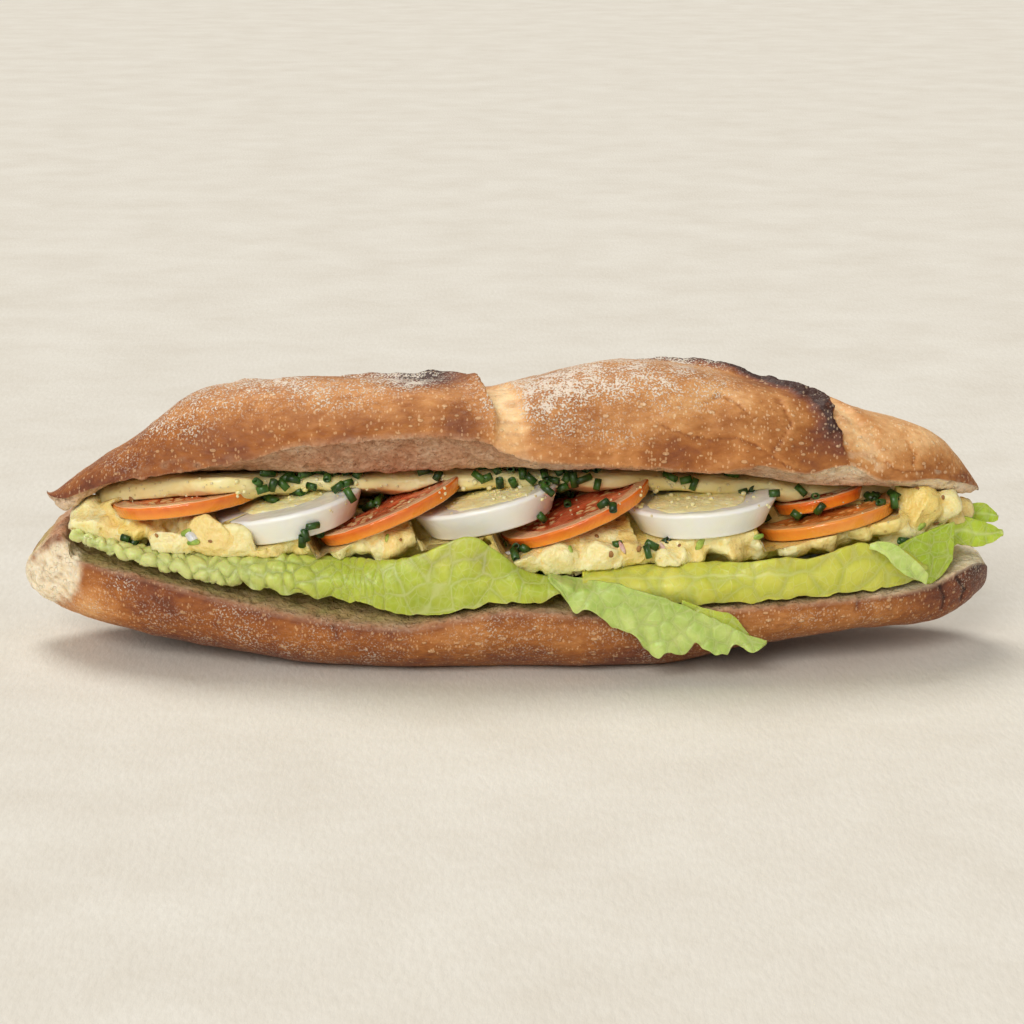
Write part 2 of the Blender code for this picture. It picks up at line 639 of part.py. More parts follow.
def boolean(obj, operation, collection, solver="MANIFOLD"):
    """Joins or cuts with every object of the collection, applies it and removes those objects."""
    modifier = obj.modifiers.new(operation.lower(), "BOOLEAN")
    modifier.operation = operation
    modifier.operand_type = "COLLECTION"
    modifier.collection = collection
    modifier.solver = solver
    applied(obj)
    for other in list(collection.objects):
        bpy.data.objects.remove(other)
    bpy.data.collections.remove(collection)
    return obj


def islands(mesh):
    """The separate bodies of a bmesh, as lists of vertices."""
    left, found = set(mesh.verts), []
    while left:
        body, edge = [], [left.pop()]
        while edge:
            vertex = edge.pop()
            body.append(vertex)
            for link in vertex.link_edges:
                other = link.other_vert(vertex)
                if other in left:
                    left.discard(other)
                    edge.append(other)
        found.append(body)
    return found


def keep_largest_body(obj):
    """Drops the loose scraps that a cut leaves, and merges triangles that lie in one plane."""
    mesh = bmesh.new()
    mesh.from_mesh(obj.data)
    bmesh.ops.dissolve_limit(mesh, angle_limit=math.radians(2.5), verts=mesh.verts, edges=mesh.edges)
    bodies = sorted(islands(mesh), key=len)
    for body in bodies[:-1]:
        bmesh.ops.delete(mesh, geom=body, context="VERTS")
    mesh.to_mesh(obj.data)
    mesh.free()
    return obj


def grown_copy(obj, gap, collection):
    """A copy that stands out from the object by a gap all over, to cut its neighbours back with."""
    graph = bpy.context.evaluated_depsgraph_get()
    mesh = bpy.data.meshes.new_from_object(obj.evaluated_get(graph))
    copy = bpy.data.objects.new(obj.name + "_grown", mesh)
    normals = [vertex.normal.copy() for vertex in mesh.vertices]
    for vertex, normal in zip(mesh.vertices, normals):
        vertex.co += normal * gap
    collection.objects.link(copy)
    return copy


def tree_of(obj):
    graph = bpy.context.evaluated_depsgraph_get()
    return BVHTree.FromObject(obj, graph)


def chive(place, normal, draw):
    """A short cut length of chive lying on a surface, sunk into it a little."""
    length = CHIVE_LENGTH * draw.uniform(0.7, 1.2)
    bpy.ops.mesh.primitive_cylinder_add(vertices=5, radius=CHIVE_RADIUS, depth=length)
    obj = bpy.context.object
    sideways = normal.cross(Vector((0, 0, 1))) if abs(normal.z) < 0.95 else Vector((1, 0, 0))
    axis = Matrix.Rotation(draw.uniform(0, math.tau), 3, normal) @ sideways.normalized()
    axis = (axis + normal * draw.uniform(-0.1, 0.35)).normalized()
    turn = Vector((0, 0, 1)).rotation_difference(axis).to_matrix().to_4x4()
    obj.data.transform(Matrix.Translation(place + normal * CHIVE_RADIUS * 0.45) @ turn)
    return obj


def scatter_chives(carriers, others):
    """Sprinkles the chives from the front. Each is kept only where it lies clear of other pieces."""
    draw = random.Random(CHIVE_SEED)
    trees = {obj.name: tree_of(obj) for obj in carriers + others}
    names = {obj.name for obj in carriers}
    landed = {name: [] for name in names}
    aim = Vector((0, math.cos(VIEW_SLOPE), -math.sin(VIEW_SLOPE)))
    for (cx, cz), (sx, sz), count in CHIVE_CLUSTERS:
        for _ in range(count):
            x, z = (cx + draw.uniform(-sx, sx)) * MM, (cz + draw.uniform(-sz, sz)) * MM
            start = Vector((x, 0, z)) - aim * 90 * MM
            hits = [(tree.ray_cast(start, aim), name) for name, tree in trees.items()]
            hits = [(hit, name) for hit, name in hits if hit[0] is not None]
            if not hits:
                continue
            (place, normal, _, _), name = min(hits, key=lambda found: found[0][3])
            piece = chive(place, normal, draw)
            own = BVHTree.FromObject(piece, bpy.context.evaluated_depsgraph_get())
            crossed = any(tree.overlap(own) for other, tree in trees.items() if other != name)
            crowded = any(
                (place - old).length < CHIVE_LENGTH * (0.55 if other == name else 1.1)
                for other, found in landed.items()
                for old, _ in found
            )
            if name in names and not crossed and not crowded:
                landed[name].append((place, piece))
            else:
                bpy.data.objects.remove(piece)
    return {name: [piece for _, piece in found] for name, found in landed.items()}


def remove_everything():
    for obj in list(bpy.data.objects):
        bpy.data.objects.remove(obj)


def main():
    remove_everything()
    sandwich = new_collection("baguette_sandwich")
    crust = material("baked crust", (0.45, 0.19, 0.06), 0.6)
    leaf = material("lettuce leaf", (0.45, 0.5, 0.07), 0.45)
    egg = material("boiled egg", (0.9, 0.86, 0.72), 0.35)
    tomato = material("tomato", (0.62, 0.1, 0.03), 0.3)
    salad_mix = material("chicken and egg salad", (0.66, 0.5, 0.19), 0.4)
    sauce = material("mayonnaise", (0.8, 0.65, 0.25), 0.35)

    bread_bottom = finished(tube_of_rings(32, 24, bottom_bread_point), "bread_bottom", crust, sandwich)
    bread_top = finished(tube_of_rings(42, 24, top_bread_point), "bread_top", crust, sandwich)

    leaves = [
        finished(through_leaf("lettuce_left", LEFT_LEAF, 29, 8), "lettuce_left", leaf, sandwich),
        finished(through_leaf("lettuce_right", RIGHT_LEAF, 20, 8), "lettuce_right", leaf, sandwich),
        finished(hanging_leaf("lettuce_hanging", 18, 5), "lettuce_hanging", leaf, sandwich),
        finished(end_leaf("lettuce_end", END_LEAF, 12, 4, 1), "lettuce_end", leaf, sandwich),
        finished(end_leaf("lettuce_end_back", BACK_END_LEAF, 8, 3, -1), "lettuce_end_back", leaf, sandwich),
    ]
    discs = []
    slices = [(each, (EGG_THICKNESS, EGG_UNDERSIDE), egg) for each in EGG_SLICES]
    slices += [(each, (TOMATO_THICKNESS, TOMATO_UNDERSIDE), tomato) for each in TOMATO_SLICES]
    slices += [(BACK_SLICE, (BACK_THICKNESS, TOMATO_UNDERSIDE), tomato)]
    for (name, *lie), shape, finish in slices:
        discs.append(finished(round_slice(*lie, *shape, SLICE_EDGE, 24), name, finish, sandwich))

    mayonnaise = tube_of_rings(22, 14, mayonnaise_point)
    mayonnaise.name = "mayonnaise"
    cutters = new_collection("mayonnaise_cutters")
    for (name, *lie), shape, _ in slices:
        move_to(round_slice(*lie, *shape, 0, 24, SEAT_GAP), cutters)
    grown_copy(bread_top, SEAT_GAP, cutters)
    boolean(mayonnaise, "DIFFERENCE", cutters)
    finished(keep_largest_body(mayonnaise), "mayonnaise", sauce, sandwich)

    salad = tube_of_rings(28, 16, heap_point)
    salad.name = "salad"
    draw = random.Random(LUMP_SEED)
    pieces = new_collection("salad_pieces")
    for place, size in lump_places(draw):
        move_to(lump(place, size, draw), pieces)
    boolean(salad, "UNION", pieces)
    thinned(salad, 0.43)
    cutters = new_collection("salad_cutters")
    for (name, *lie), shape, _ in slices:
        move_to(round_slice(*lie, *shape, 0, 20, 1.3 * SEAT_GAP), cutters)
    for neighbour in leaves + [bread_top, bread_bottom, mayonnaise]:
        grown_copy(neighbour, 1.4 * SEAT_GAP, cutters)
    boolean(salad, "DIFFERENCE", cutters)
    finished(keep_largest_body(salad), "salad", salad_mix, sandwich)

    carriers = discs + [mayonnaise, salad]
    for name, found in scatter_chives(carriers, leaves + [bread_top, bread_bottom]).items():
        if not found:
            continue
        chopped = new_collection(name + "_chives")
        for piece in found:
            move_to(piece, chopped)
        boolean(bpy.data.objects[name], "UNION", chopped)
        keep_largest_body(bpy.data.objects[name])


main()
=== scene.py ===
# %% [markdown]
# # A filled baguette
# The sandwich lies on its flat base with its open long side towards the camera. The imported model
# gives every size and place. This lesson gives each part its real surface: crust, leaf, egg, tomato.
# %% Load the model
import itertools
import json
import math
import random

import bmesh
import bpy
import numpy as np
from mathutils import Matrix, Vector, noise
from mathutils.bvhtree import BVHTree
from mathutils.kdtree import KDTree

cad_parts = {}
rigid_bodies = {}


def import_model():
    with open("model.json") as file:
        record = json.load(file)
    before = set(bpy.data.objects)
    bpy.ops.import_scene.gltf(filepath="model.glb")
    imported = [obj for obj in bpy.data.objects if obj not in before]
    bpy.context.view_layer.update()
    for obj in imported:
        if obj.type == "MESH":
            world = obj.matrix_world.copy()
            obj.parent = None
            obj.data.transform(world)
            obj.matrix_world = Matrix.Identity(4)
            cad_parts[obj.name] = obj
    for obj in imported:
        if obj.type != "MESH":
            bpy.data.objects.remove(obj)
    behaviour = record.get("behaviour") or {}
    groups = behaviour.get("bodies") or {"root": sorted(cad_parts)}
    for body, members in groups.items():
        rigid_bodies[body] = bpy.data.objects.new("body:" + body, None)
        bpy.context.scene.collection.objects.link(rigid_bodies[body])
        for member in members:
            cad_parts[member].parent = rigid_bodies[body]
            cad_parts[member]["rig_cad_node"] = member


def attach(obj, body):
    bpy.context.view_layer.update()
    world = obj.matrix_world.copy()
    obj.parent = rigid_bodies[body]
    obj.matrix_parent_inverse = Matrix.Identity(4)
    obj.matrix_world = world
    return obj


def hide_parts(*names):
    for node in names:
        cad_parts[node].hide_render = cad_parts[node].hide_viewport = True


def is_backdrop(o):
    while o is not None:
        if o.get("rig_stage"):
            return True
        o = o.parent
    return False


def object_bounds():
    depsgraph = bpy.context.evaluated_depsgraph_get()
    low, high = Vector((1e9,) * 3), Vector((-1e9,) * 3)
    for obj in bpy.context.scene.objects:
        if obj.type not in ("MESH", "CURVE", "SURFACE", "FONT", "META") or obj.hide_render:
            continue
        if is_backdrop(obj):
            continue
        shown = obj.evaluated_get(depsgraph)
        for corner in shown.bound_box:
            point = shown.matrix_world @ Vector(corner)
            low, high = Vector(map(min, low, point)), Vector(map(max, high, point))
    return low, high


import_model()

cad_box = [list(corner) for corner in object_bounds()]
MM = 0.001
print("model box in mm", [[round(c / MM, 1) for c in corner] for corner in cad_box])

# %% [markdown]
# ## Smooth curves and shares
# Bread has no straight lines, so its outline is kept as a few heights along the loaf, and a smooth
# curve is drawn through them. The curve works on whole arrays of points, which keeps it quick.
# %% Curves through heights


def along(stations, x, column=1):
    """A smooth curve through (place, height) pairs in millimetres, at places in metres."""
    place = np.array([s[0] for s in stations], float) * MM
    height = np.array([s[column] for s in stations], float) * MM
    slope = np.gradient(height, place)
    slope[1:-1] = (height[2:] - height[:-2]) / (place[2:] - place[:-2])
    x = np.clip(x, place[0], place[-1])
    i = np.clip(np.searchsorted(place, x, side="right") - 1, 0, len(place) - 2)
    span = place[i + 1] - place[i]
    t = (x - place[i]) / span
    start = (2 * t**3 - 3 * t**2 + 1) * height[i] + (t**3 - 2 * t**2 + t) * slope[i] * span
    return start + (3 * t**2 - 2 * t**3) * height[i + 1] + (t**3 - t**2) * slope[i + 1] * span


def clamp(value, low=0.0, high=1.0):
    return np.clip(value, low, high)


def smooth_step(value):
    value = clamp(value)
    return value * value * (3 - 2 * value)


def mix(a, b, share):
    return a + (b - a) * share


def signed_power(value, exponent):
    return np.sign(value) * np.abs(value) ** exponent


# %% [markdown]
# ## Uneven surfaces
# Nothing baked or cut is even. Three helpers make that unevenness: soft lumps, finer layered lumps,
# and a net of cells like the ones in a leaf or in bread crumb. All are seeded, so each run is alike.
# %% Noise and cells


def joined(*columns):
    """Makes one array of places out of an array for each direction."""
    return np.stack(columns, -1)


def dice(cell, seed):
    """A steady random number from 0 to 1 for each whole-number cell."""
    mixed = np.zeros(cell.shape[:-1], np.int64) + seed * 40503
    for k in range(cell.shape[-1]):
        mixed = (mixed ^ (cell[..., k] * (73856093, 19349663, 83492791)[k])) & 0xFFFFFFFF
        mixed = ((mixed ^ (mixed >> 15)) * 2246822519) & 0xFFFFFFFF
    mixed = ((mixed ^ (mixed >> 13)) * 3266489917) & 0xFFFFFFFF
    return ((mixed >> 8) & 0xFFFF) / 65535.0


def uneven(points, size, seed=0):
    """Soft noise from -1 to 1 with lumps about as large as size."""
    p = np.asarray(points, float) / size
    base = np.floor(p)
    f = p - base
    fade = f * f * (3 - 2 * f)
    total = np.zeros(len(p))
    for corner in itertools.product((0, 1), repeat=p.shape[1]):
        weight = np.ones(len(p))
        for k, side in enumerate(corner):
            weight = weight * (fade[:, k] if side else 1 - fade[:, k])
        total += weight * dice((base + corner).astype(np.int64), seed)
    return total * 2 - 1


def on_line(x):
    """Places in a row, for noise that changes only along the loaf."""
    return joined(x, 0 * x)


def layered(points, size, layers=3, seed=0):
    """Soft noise with finer and fainter noise on top."""
    return sum(uneven(points, size / 2**k, seed + k) * 0.5**k for k in range(layers))


def cells(points, size, seed=0):
    """For a net of uneven cells: distance to the nearest centre, to the next one, and a random tag."""
    p = np.asarray(points, float) / size
    base = np.floor(p)
    near, second, tag = np.full(len(p), 9.0), np.full(len(p), 9.0), np.zeros(len(p))
    for offset in itertools.product((-1, 0, 1), repeat=p.shape[1]):
        cell = (base + offset).astype(np.int64)
        centre = cell + np.stack([dice(cell, seed + 5 * k + 1) for k in range(p.shape[1])], -1)
        gap = np.linalg.norm(centre - p, axis=1)
        nearer = gap < near
        second = np.where(nearer, near, np.minimum(second, gap))
        tag = np.where(nearer, dice(cell, seed + 77), tag)
        near = np.minimum(near, gap)
    return near, second, tag


# %% [markdown]
# ## Reading and moving points
# A piece starts as a primitive from the Add menu. Its points are then read into an array, moved all
# at once and written back. What a material needs to know about a place is stored as an attribute.
# %% Mesh helpers


def add_primitive(kind, name, **sizes):
    """Adds a primitive as from the Add menu, with everything else deselected first."""
    bpy.ops.object.select_all(action="DESELECT")
    getattr(bpy.ops.mesh, "primitive_" + kind + "_add")(**sizes)
    obj = bpy.context.object
    obj.name = name
    obj.data.name = name
    return obj


def points_of(obj):
    co = np.empty(len(obj.data.vertices) * 3)
    obj.data.vertices.foreach_get("co", co)
    return co.reshape(-1, 3)


def normals_of(obj):
    normals = np.empty(len(obj.data.vertices) * 3)
    obj.data.vertex_normals.foreach_get("vector", normals)
    return normals.reshape(-1, 3)


def move_points(obj, points):
    obj.data.vertices.foreach_set("co", np.ascontiguousarray(points, float).ravel())
    obj.data.update()


def store(obj, **attributes):
    """Keeps one number a point under each name, for the material to read."""
    for name, values in attributes.items():
        values = np.broadcast_to(values, len(obj.data.vertices))
        made = obj.data.attributes.new(name, "FLOAT", "POINT")
        made.data.foreach_set("value", np.ascontiguousarray(values, np.float32))


def apply_modifier(obj, name, kind, **settings):
    """Adds a modifier, sets it and applies it, as with the Apply button."""
    modifier = obj.modifiers.new(name, kind)
    for key, value in settings.items():
        setattr(modifier, key, value)
    bpy.context.view_layer.objects.active = obj
    bpy.ops.object.modifier_apply(modifier=modifier.name)


def face_outwards(obj):
    bpy.ops.object.select_all(action="DESELECT")
    obj.select_set(True)
    bpy.context.view_layer.objects.active = obj
    bpy.ops.object.mode_set(mode="EDIT")
    bpy.ops.mesh.select_all(action="SELECT")
    bpy.ops.mesh.normals_make_consistent(inside=False)
    bpy.ops.object.mode_set(mode="OBJECT")


def finish_piece(obj, material, slot, *nodes):
    """Gives a piece its material, lets it ride with the sandwich and hides the solids it stands for."""
    obj.data.materials.clear()
    obj.data.materials.append(material)
    obj.data.shade_smooth()
    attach(obj, "root")
    if nodes:
        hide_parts(*nodes)
    triangles = sum(len(face.vertices) - 2 for face in obj.data.polygons)
    print(obj.name, triangles, "triangles")


def tube_of_rings(name, rings, segments, place):
    """A UV sphere whose poles become two tips, with every other point placed by the function."""
    obj = add_primitive("uv_sphere", name, segments=segments, ring_count=rings, radius=1)
    ball = points_of(obj)
    polar = np.arccos(clamp(ball[:, 2], -1, 1)) / math.pi
    share = mix(2 * polar - 1, -np.cos(math.pi * polar), 0.55)
    turn = (np.arctan2(ball[:, 1], ball[:, 0]) / math.tau) % 1
    turn = np.floor(turn * segments + 0.25) % segments / segments
    move_points(obj, place(share, turn))
    face_outwards(obj)
    return obj, share, turn


# %% [markdown]
# ## Camera, light and table
# The photo looks down at the sandwich by 14 degrees through a long lens. Two wide, soft suns do the
# work of large studio lamps: one overhead, a little behind, which puts the shadow in front, and one
# at the camera's left. A pale world around them fills the shadows.
# %% Camera and light
VIEW_SLOPE = math.radians(14)
VIEW_DISTANCE = 0.8366
AIM_HEIGHT = 40
PICTURE_MIDDLE = 512
POINTS_PER_MM = 3.4
AIM = Vector((0, 0, AIM_HEIGHT * MM))
bpy.ops.object.camera_add(
    location=AIM + Vector((0, -math.cos(VIEW_SLOPE), math.sin(VIEW_SLOPE))) * VIEW_DISTANCE,
    rotation=(math.pi / 2 - VIEW_SLOPE, 0, 0),
)
camera = bpy.context.object
camera.data.lens = 100
camera.data.sensor_width = 36
bpy.context.scene.camera = camera
bpy.context.scene.view_settings.view_transform = "Standard"


def soft_sun(name, place, turns, energy, width, colour):
    """A sun with soft shadows: its turns and its width are in degrees."""
    bpy.ops.object.light_add(type="SUN", location=place, rotation=[math.radians(turn) for turn in turns])
    lamp = bpy.context.object
    lamp.name = name
    lamp.data.energy = energy
    lamp.data.angle = math.radians(width)
    lamp.data.color = colour


soft_sun("overhead_light", (-0.3, 0.05, 1.2), (-22, -14, 0), 1.65, 26, (1.0, 0.975, 0.93))
soft_sun("front_light", (-0.5, -1.5, 0.8), (58, 0, -22), 1.9, 34, (1.0, 0.98, 0.95))
world = bpy.data.worlds.new("pale room")
world.use_nodes = True
world.node_tree.nodes["Background"].inputs["Color"].default_value = (0.90, 0.88, 0.84, 1)
world.node_tree.nodes["Background"].inputs["Strength"].default_value = 0.34
bpy.context.scene.world = world

# %% [markdown]
# ## Node helpers and shared effects
# Materials are built from nodes in code. Two effects come back in many of them, so each is a group
# that is made once: a soft change of tone over the surface, and small scattered specks.
# %% Node helpers


def add_node(tree, kind, inputs=None, **settings):
    """One node: settings are its own values, inputs are numbers, colours or other nodes' outputs."""
    made = tree.nodes.new(kind)
    for key, value in settings.items():
        setattr(made, key, value)
    for key, value in (inputs or {}).items():
        if isinstance(value, bpy.types.NodeSocket):
            tree.links.new(value, made.inputs[key])
        else:
            made.inputs[key].default_value = value
    return made


def new_group(name, numbers, result):
    """An empty node group that takes a place and some numbers and gives one number."""
    group = bpy.data.node_groups.new(name, "ShaderNodeTree")
    group.interface.new_socket("Vector", in_out="INPUT", socket_type="NodeSocketVector")
    for label, value in numbers.items():
        socket = group.interface.new_socket(label, in_out="INPUT", socket_type="NodeSocketFloat")
        socket.default_value = value
    group.interface.new_socket(result, in_out="OUTPUT", socket_type="NodeSocketFloat")
    return group, group.nodes.new("NodeGroupInput"), group.nodes.new("NodeGroupOutput")


def math_node(tree, operation, a, b=0.0, clamped=False):
    return add_node(tree, "ShaderNodeMath", {0: a, 1: b}, operation=operation, use_clamp=clamped).outputs[0]


def times(tree, a, b, clamped=False):
    return math_node(tree, "MULTIPLY", a, b, clamped)


def plus(tree, a, b, clamped=False):
    return math_node(tree, "ADD", a, b, clamped)


def minus(tree, a, b, clamped=False):
    return math_node(tree, "SUBTRACT", a, b, clamped)


def mix_colours(tree, share, a, b, blend="MIX"):
    """Mixes two colours, each given as red, green and blue or as another node's output."""
    a, b = (each if isinstance(each, bpy.types.NodeSocket) else (*each, 1) for each in (a, b))
    made = add_node(tree, "ShaderNodeMix", {0: share, 6: a, 7: b}, data_type="RGBA", blend_type=blend)
    return made.outputs[2]


def attribute(tree, name):
    return add_node(tree, "ShaderNodeAttribute", attribute_name=name).outputs["Fac"]


def colour_ramp(tree, value, stops):
    """A colour ramp with a stop for each (place, colour) pair."""
    made = add_node(tree, "ShaderNodeValToRGB", {0: value})
    ramp = made.color_ramp
    while len(ramp.elements) < len(stops):
        ramp.elements.new(0.5)
    for element, (place, colour) in zip(ramp.elements, stops):
        element.position = place
        element.color = (*colour, 1)
    return made.outputs["Color"]


def new_material(name, roughness, subsurface=0.0, radius=(1, 0.6, 0.3), depth=0.004, specular=0.5):
    """A material with one Principled shader: its even values are set here on the shader itself."""
    made = bpy.data.materials.new(name)
    made.use_nodes = True
    tree = made.node_tree
    shader = tree.nodes["Principled BSDF"]
    shader.inputs["Roughness"].default_value = roughness
    shader.inputs["Specular IOR Level"].default_value = specular
    shader.inputs["Subsurface Weight"].default_value = subsurface
    shader.inputs["Subsurface Radius"].default_value = radius
    shader.inputs["Subsurface Scale"].default_value = depth
    return made, tree, shader


def paint(tree, shader, colour):
    tree.links.new(colour, shader.inputs["Base Color"])


def roughen(tree, shader, height, distance, strength):
    """Fine relief that is too small for the mesh, by a Bump node."""
    bump = add_node(tree, "ShaderNodeBump", {"Height": height, "Distance": distance, "Strength": strength})
    tree.links.new(bump.outputs["Normal"], shader.inputs["Normal"])


def coordinates(tree):
    return add_node(tree, "ShaderNodeTexCoord").outputs["Object"]


def scaled(tree, vector, scale):
    return add_node(tree, "ShaderNodeMapping", {"Vector": vector, "Scale": scale}).outputs[0]


# %% Shared effects


def make_tone_group():
    """Noise that goes from 0 to 1 in patches of a given size, with a chosen contrast."""
    group, start, end = new_group("uneven tone", {"Size": 0.003, "Contrast": 2.0}, "Value")
    scale = math_node(group, "DIVIDE", 1.0, start.outputs["Size"])
    inputs = {"Vector": start.outputs["Vector"], "Scale": scale, "Detail": 3.0}
    cloud = add_node(group, "ShaderNodeTexNoise", inputs)
    centred = minus(group, cloud.outputs["Fac"], 0.5)
    spread = times(group, centred, start.outputs["Contrast"])
    group.links.new(plus(group, spread, 0.5, True), end.inputs["Value"])
    return group


def make_speck_group():
    """Scattered round specks: 1 inside a speck and 0 between, with a share of the cells left empty."""
    numbers = {"Spacing": 0.002, "Radius": 0.25, "Share": 0.5}
    group, start, end = new_group("scattered specks", numbers, "Mask")
    scale = math_node(group, "DIVIDE", 1.0, start.outputs["Spacing"])
    net = add_node(group, "ShaderNodeTexVoronoi", {"Vector": start.outputs["Vector"], "Scale": scale})
    tag = add_node(group, "ShaderNodeSeparateColor", {0: net.outputs["Color"]})
    kept = math_node(group, "LESS_THAN", tag.outputs[0], start.outputs["Share"])
    size = times(group, start.outputs["Radius"], plus(group, tag.outputs[1], 0.4))
    inside = math_node(group, "DIVIDE", minus(group, size, net.outputs["Distance"]), 0.08, True)
    group.links.new(times(group, inside, kept), end.inputs["Mask"])
    return group


TONE = make_tone_group()
SPECKS = make_speck_group()


def tone(tree, vector, size, contrast=2.0):
    inputs = {"Vector": vector, "Size": size, "Contrast": contrast}
    return add_node(tree, "ShaderNodeGroup", inputs, node_tree=TONE).outputs[0]


def two_tones(tree, vector, size, contrast, a, b):
    return mix_colours(tree, tone(tree, vector, size, contrast), a, b)


def specks(tree, vector, spacing, radius, share):
    inputs = {"Vector": vector, "Spacing": spacing, "Radius": radius, "Share": share}
    return add_node(tree, "ShaderNodeGroup", inputs, node_tree=SPECKS).outputs[0]


# %% [markdown]
# ## The table
# The sandwich lies on a pale warm plaster-like surface. One large plane does it, with faint cloudy
# tones and a very fine grain, and it is marked as the stage, because it isn't part of the sandwich.
# %% Table
floor = add_primitive("plane", "table_top", size=14, location=(0, 3, 0))
table_finish, tree, shader = new_material("pale plaster", 0.75, specular=0.25)
spot = coordinates(tree)
cloudy = two_tones(tree, spot, 0.045, 2.4, (0.70, 0.655, 0.575), (0.77, 0.735, 0.66))
cloudy = mix_colours(tree, times(tree, tone(tree, spot, 0.009, 3.4), 0.22), cloudy, (0.80, 0.77, 0.71))
grain = scaled(tree, spot, (1.0, 0.35, 1.0))
cloudy = mix_colours(tree, times(tree, tone(tree, grain, 0.0016, 3.0), 0.16), cloudy, (0.57, 0.52, 0.44))
paint(tree, shader, cloudy)
roughen(tree, shader, tone(tree, grain, 0.0016, 2.0), 0.0004, 0.35)
floor.data.materials.append(table_finish)
floor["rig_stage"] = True

# %% [markdown]
# ## The loaf's sizes
# The two halves follow the same heights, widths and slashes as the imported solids, so the detailed
# crust lies exactly where they are. The names say what each row of heights draws.
# %% Sizes of the loaf
BOTTOM_ENDS = (-144.5 * MM, 141.0 * MM)
BOTTOM_HALF_WIDTH = 37.0 * MM
BOTTOM_TIP_HEIGHT = 20.5 * MM
TOP_ENDS = (-137.2 * MM, 137.6 * MM)
TOP_HALF_WIDTH = 32.0 * MM
TOP_TIP_HEIGHT = 45.5 * MM
LOAF_BEND = 4.0 * MM
CRUST_TURN = 16 / 24
CRUMB_LINE_SHARE = 0.22
BOTTOM_RIM_FRONT = [
    (-145, 30), (-137, 35), (-131, 38.5), (-127, 31), (-120, 29), (-103, 26.5), (-88, 23), (-74, 20),
    (-60, 17.5), (-31, 14.6), (-15, 17.3), (0, 19.8), (20, 18.5), (86, 20.3), (108, 21), (123, 22.7),
    (135, 28), (141, 30),
]
BOTTOM_RIM_BACK = [(-145, 30), (-131, 38.5), (-126, 33), (-100, 29), (0, 26), (100, 27), (141, 30)]
BOTTOM_BASE = [
    (-145, 13), (-136, 10.5), (-120, 8), (-104, 5), (-81, 1.8), (-62, -0.8), (-50, -1.6), (42, -1.6),
    (53, 0.6), (65, 3.3), (97, 7.5), (127, 8.5), (141, 13),
]
BOTTOM_SECTION = (2 / 3.0, 2 / 2.9)
TOP_SECTION = (2 / 2.4, 2 / 2.1)
FILLING_SECTION = 2 / 3
TOP_CRUMB_LINE = [
    (-137, 43), (-133, 39.5), (-129, 40.5), (-125, 45), (-120, 49.6), (-115, 53), (-108, 55.6), (-95, 57.5),
    (-80, 58.2), (-60, 58.2), (-38, 58), (-20, 59), (-7, 59.6), (10, 59.4), (34, 58.8), (57, 57.6),
    (70, 56.4), (84, 53.5), (107, 51.4), (115, 50.8), (124, 48.2), (134, 46), (137.6, 48.5),
]
TOP_RIM_BACK = [(-137, 42), (-110, 41), (-60, 42), (0, 43), (60, 42), (110, 41), (138, 45)]
TOP_CREST = [
    (-137, 44), (-128, 51), (-117, 58), (-109, 62.5), (-97, 73), (-90, 77), (-83, 78.5), (-72, 79.5),
    (-33, 79.5), (-20, 79), (-8, 77.8), (5, 80.5), (20, 84), (41, 85.5), (61, 81.5), (74, 78.5),
    (87, 76), (98, 72), (109, 69), (124, 63), (131, 57.5), (138, 49),
]
TOP_CRUST_EDGE = [
    (-137, 45), (-131, 45.6), (-122, 50), (-110, 54), (-88, 58.7), (-73, 62.5), (-60, 66), (-38, 68.3),
    (-17, 69.3), (-7, 67.6), (0, 64), (12, 61.8), (34, 60.8), (57, 58.8), (71, 60), (84, 57.4), (96, 59),
    (107, 54), (122, 53), (131, 51), (137.6, 50),
]
SLASHES = [
    [(-98, 15), (-60, 10), (-35, 6), (-22, 0), (-14, -10), (-8.5, -21), (-5, -33)],
    [(8, 17), (40, 11), (60, 6), (72, 0), (80, -8), (88, -16), (96, -24)],
]
EAR_HEIGHT = 2.4 * MM
EAR_SPREAD = 2.8 * MM
SLASH_WIDTH = 8.0 * MM
SLASH_DEPTH = 1.8 * MM

# %% [markdown]
# ## The loaf's shape
# Each half is a ring that changes along the loaf: crust for two thirds of the turn, then the cut face
# back to its start. It could be lofted between curves too, but these functions also tell every later
# step how high the bread is at any place.
# %% The loaf's shape


def share_along(ends, x):
    """-1 at the left tip, 0 in the middle and 1 at the right tip."""
    return clamp((2 * x - ends[0] - ends[1]) / (ends[1] - ends[0]), -1, 1)


def bottom_half_width(x):
    return BOTTOM_HALF_WIDTH * (1 - np.abs(share_along(BOTTOM_ENDS, x)) ** 2.9) ** 0.54


def top_half_width(x):
    return TOP_HALF_WIDTH * (1 - np.abs(share_along(TOP_ENDS, x)) ** 2.9) ** 0.57


def bend(x):
    """How far the loaf's ends curve away from the open side."""
    return LOAF_BEND * share_along(BOTTOM_ENDS, x) ** 2


def end_cap(share, sharpness, roundness):
    """1 along the loaf, falling to 0 at its very tips."""
    return (1 - clamp(np.abs(share)) ** sharpness) ** roundness


def bottom_cut_height(x, y):
    """Height of the lower half's cut face."""
    width = np.maximum(bottom_half_width(x), 1 * MM)
    cap = end_cap(share_along(BOTTOM_ENDS, x), 18, 0.45)
    front = mix(BOTTOM_TIP_HEIGHT, along(BOTTOM_RIM_FRONT, x), cap)
    back = mix(BOTTOM_TIP_HEIGHT, along(BOTTOM_RIM_BACK, x), cap)
    return mix(front, back, clamp((y - bend(x) + width) / (2 * width)) ** 0.6)


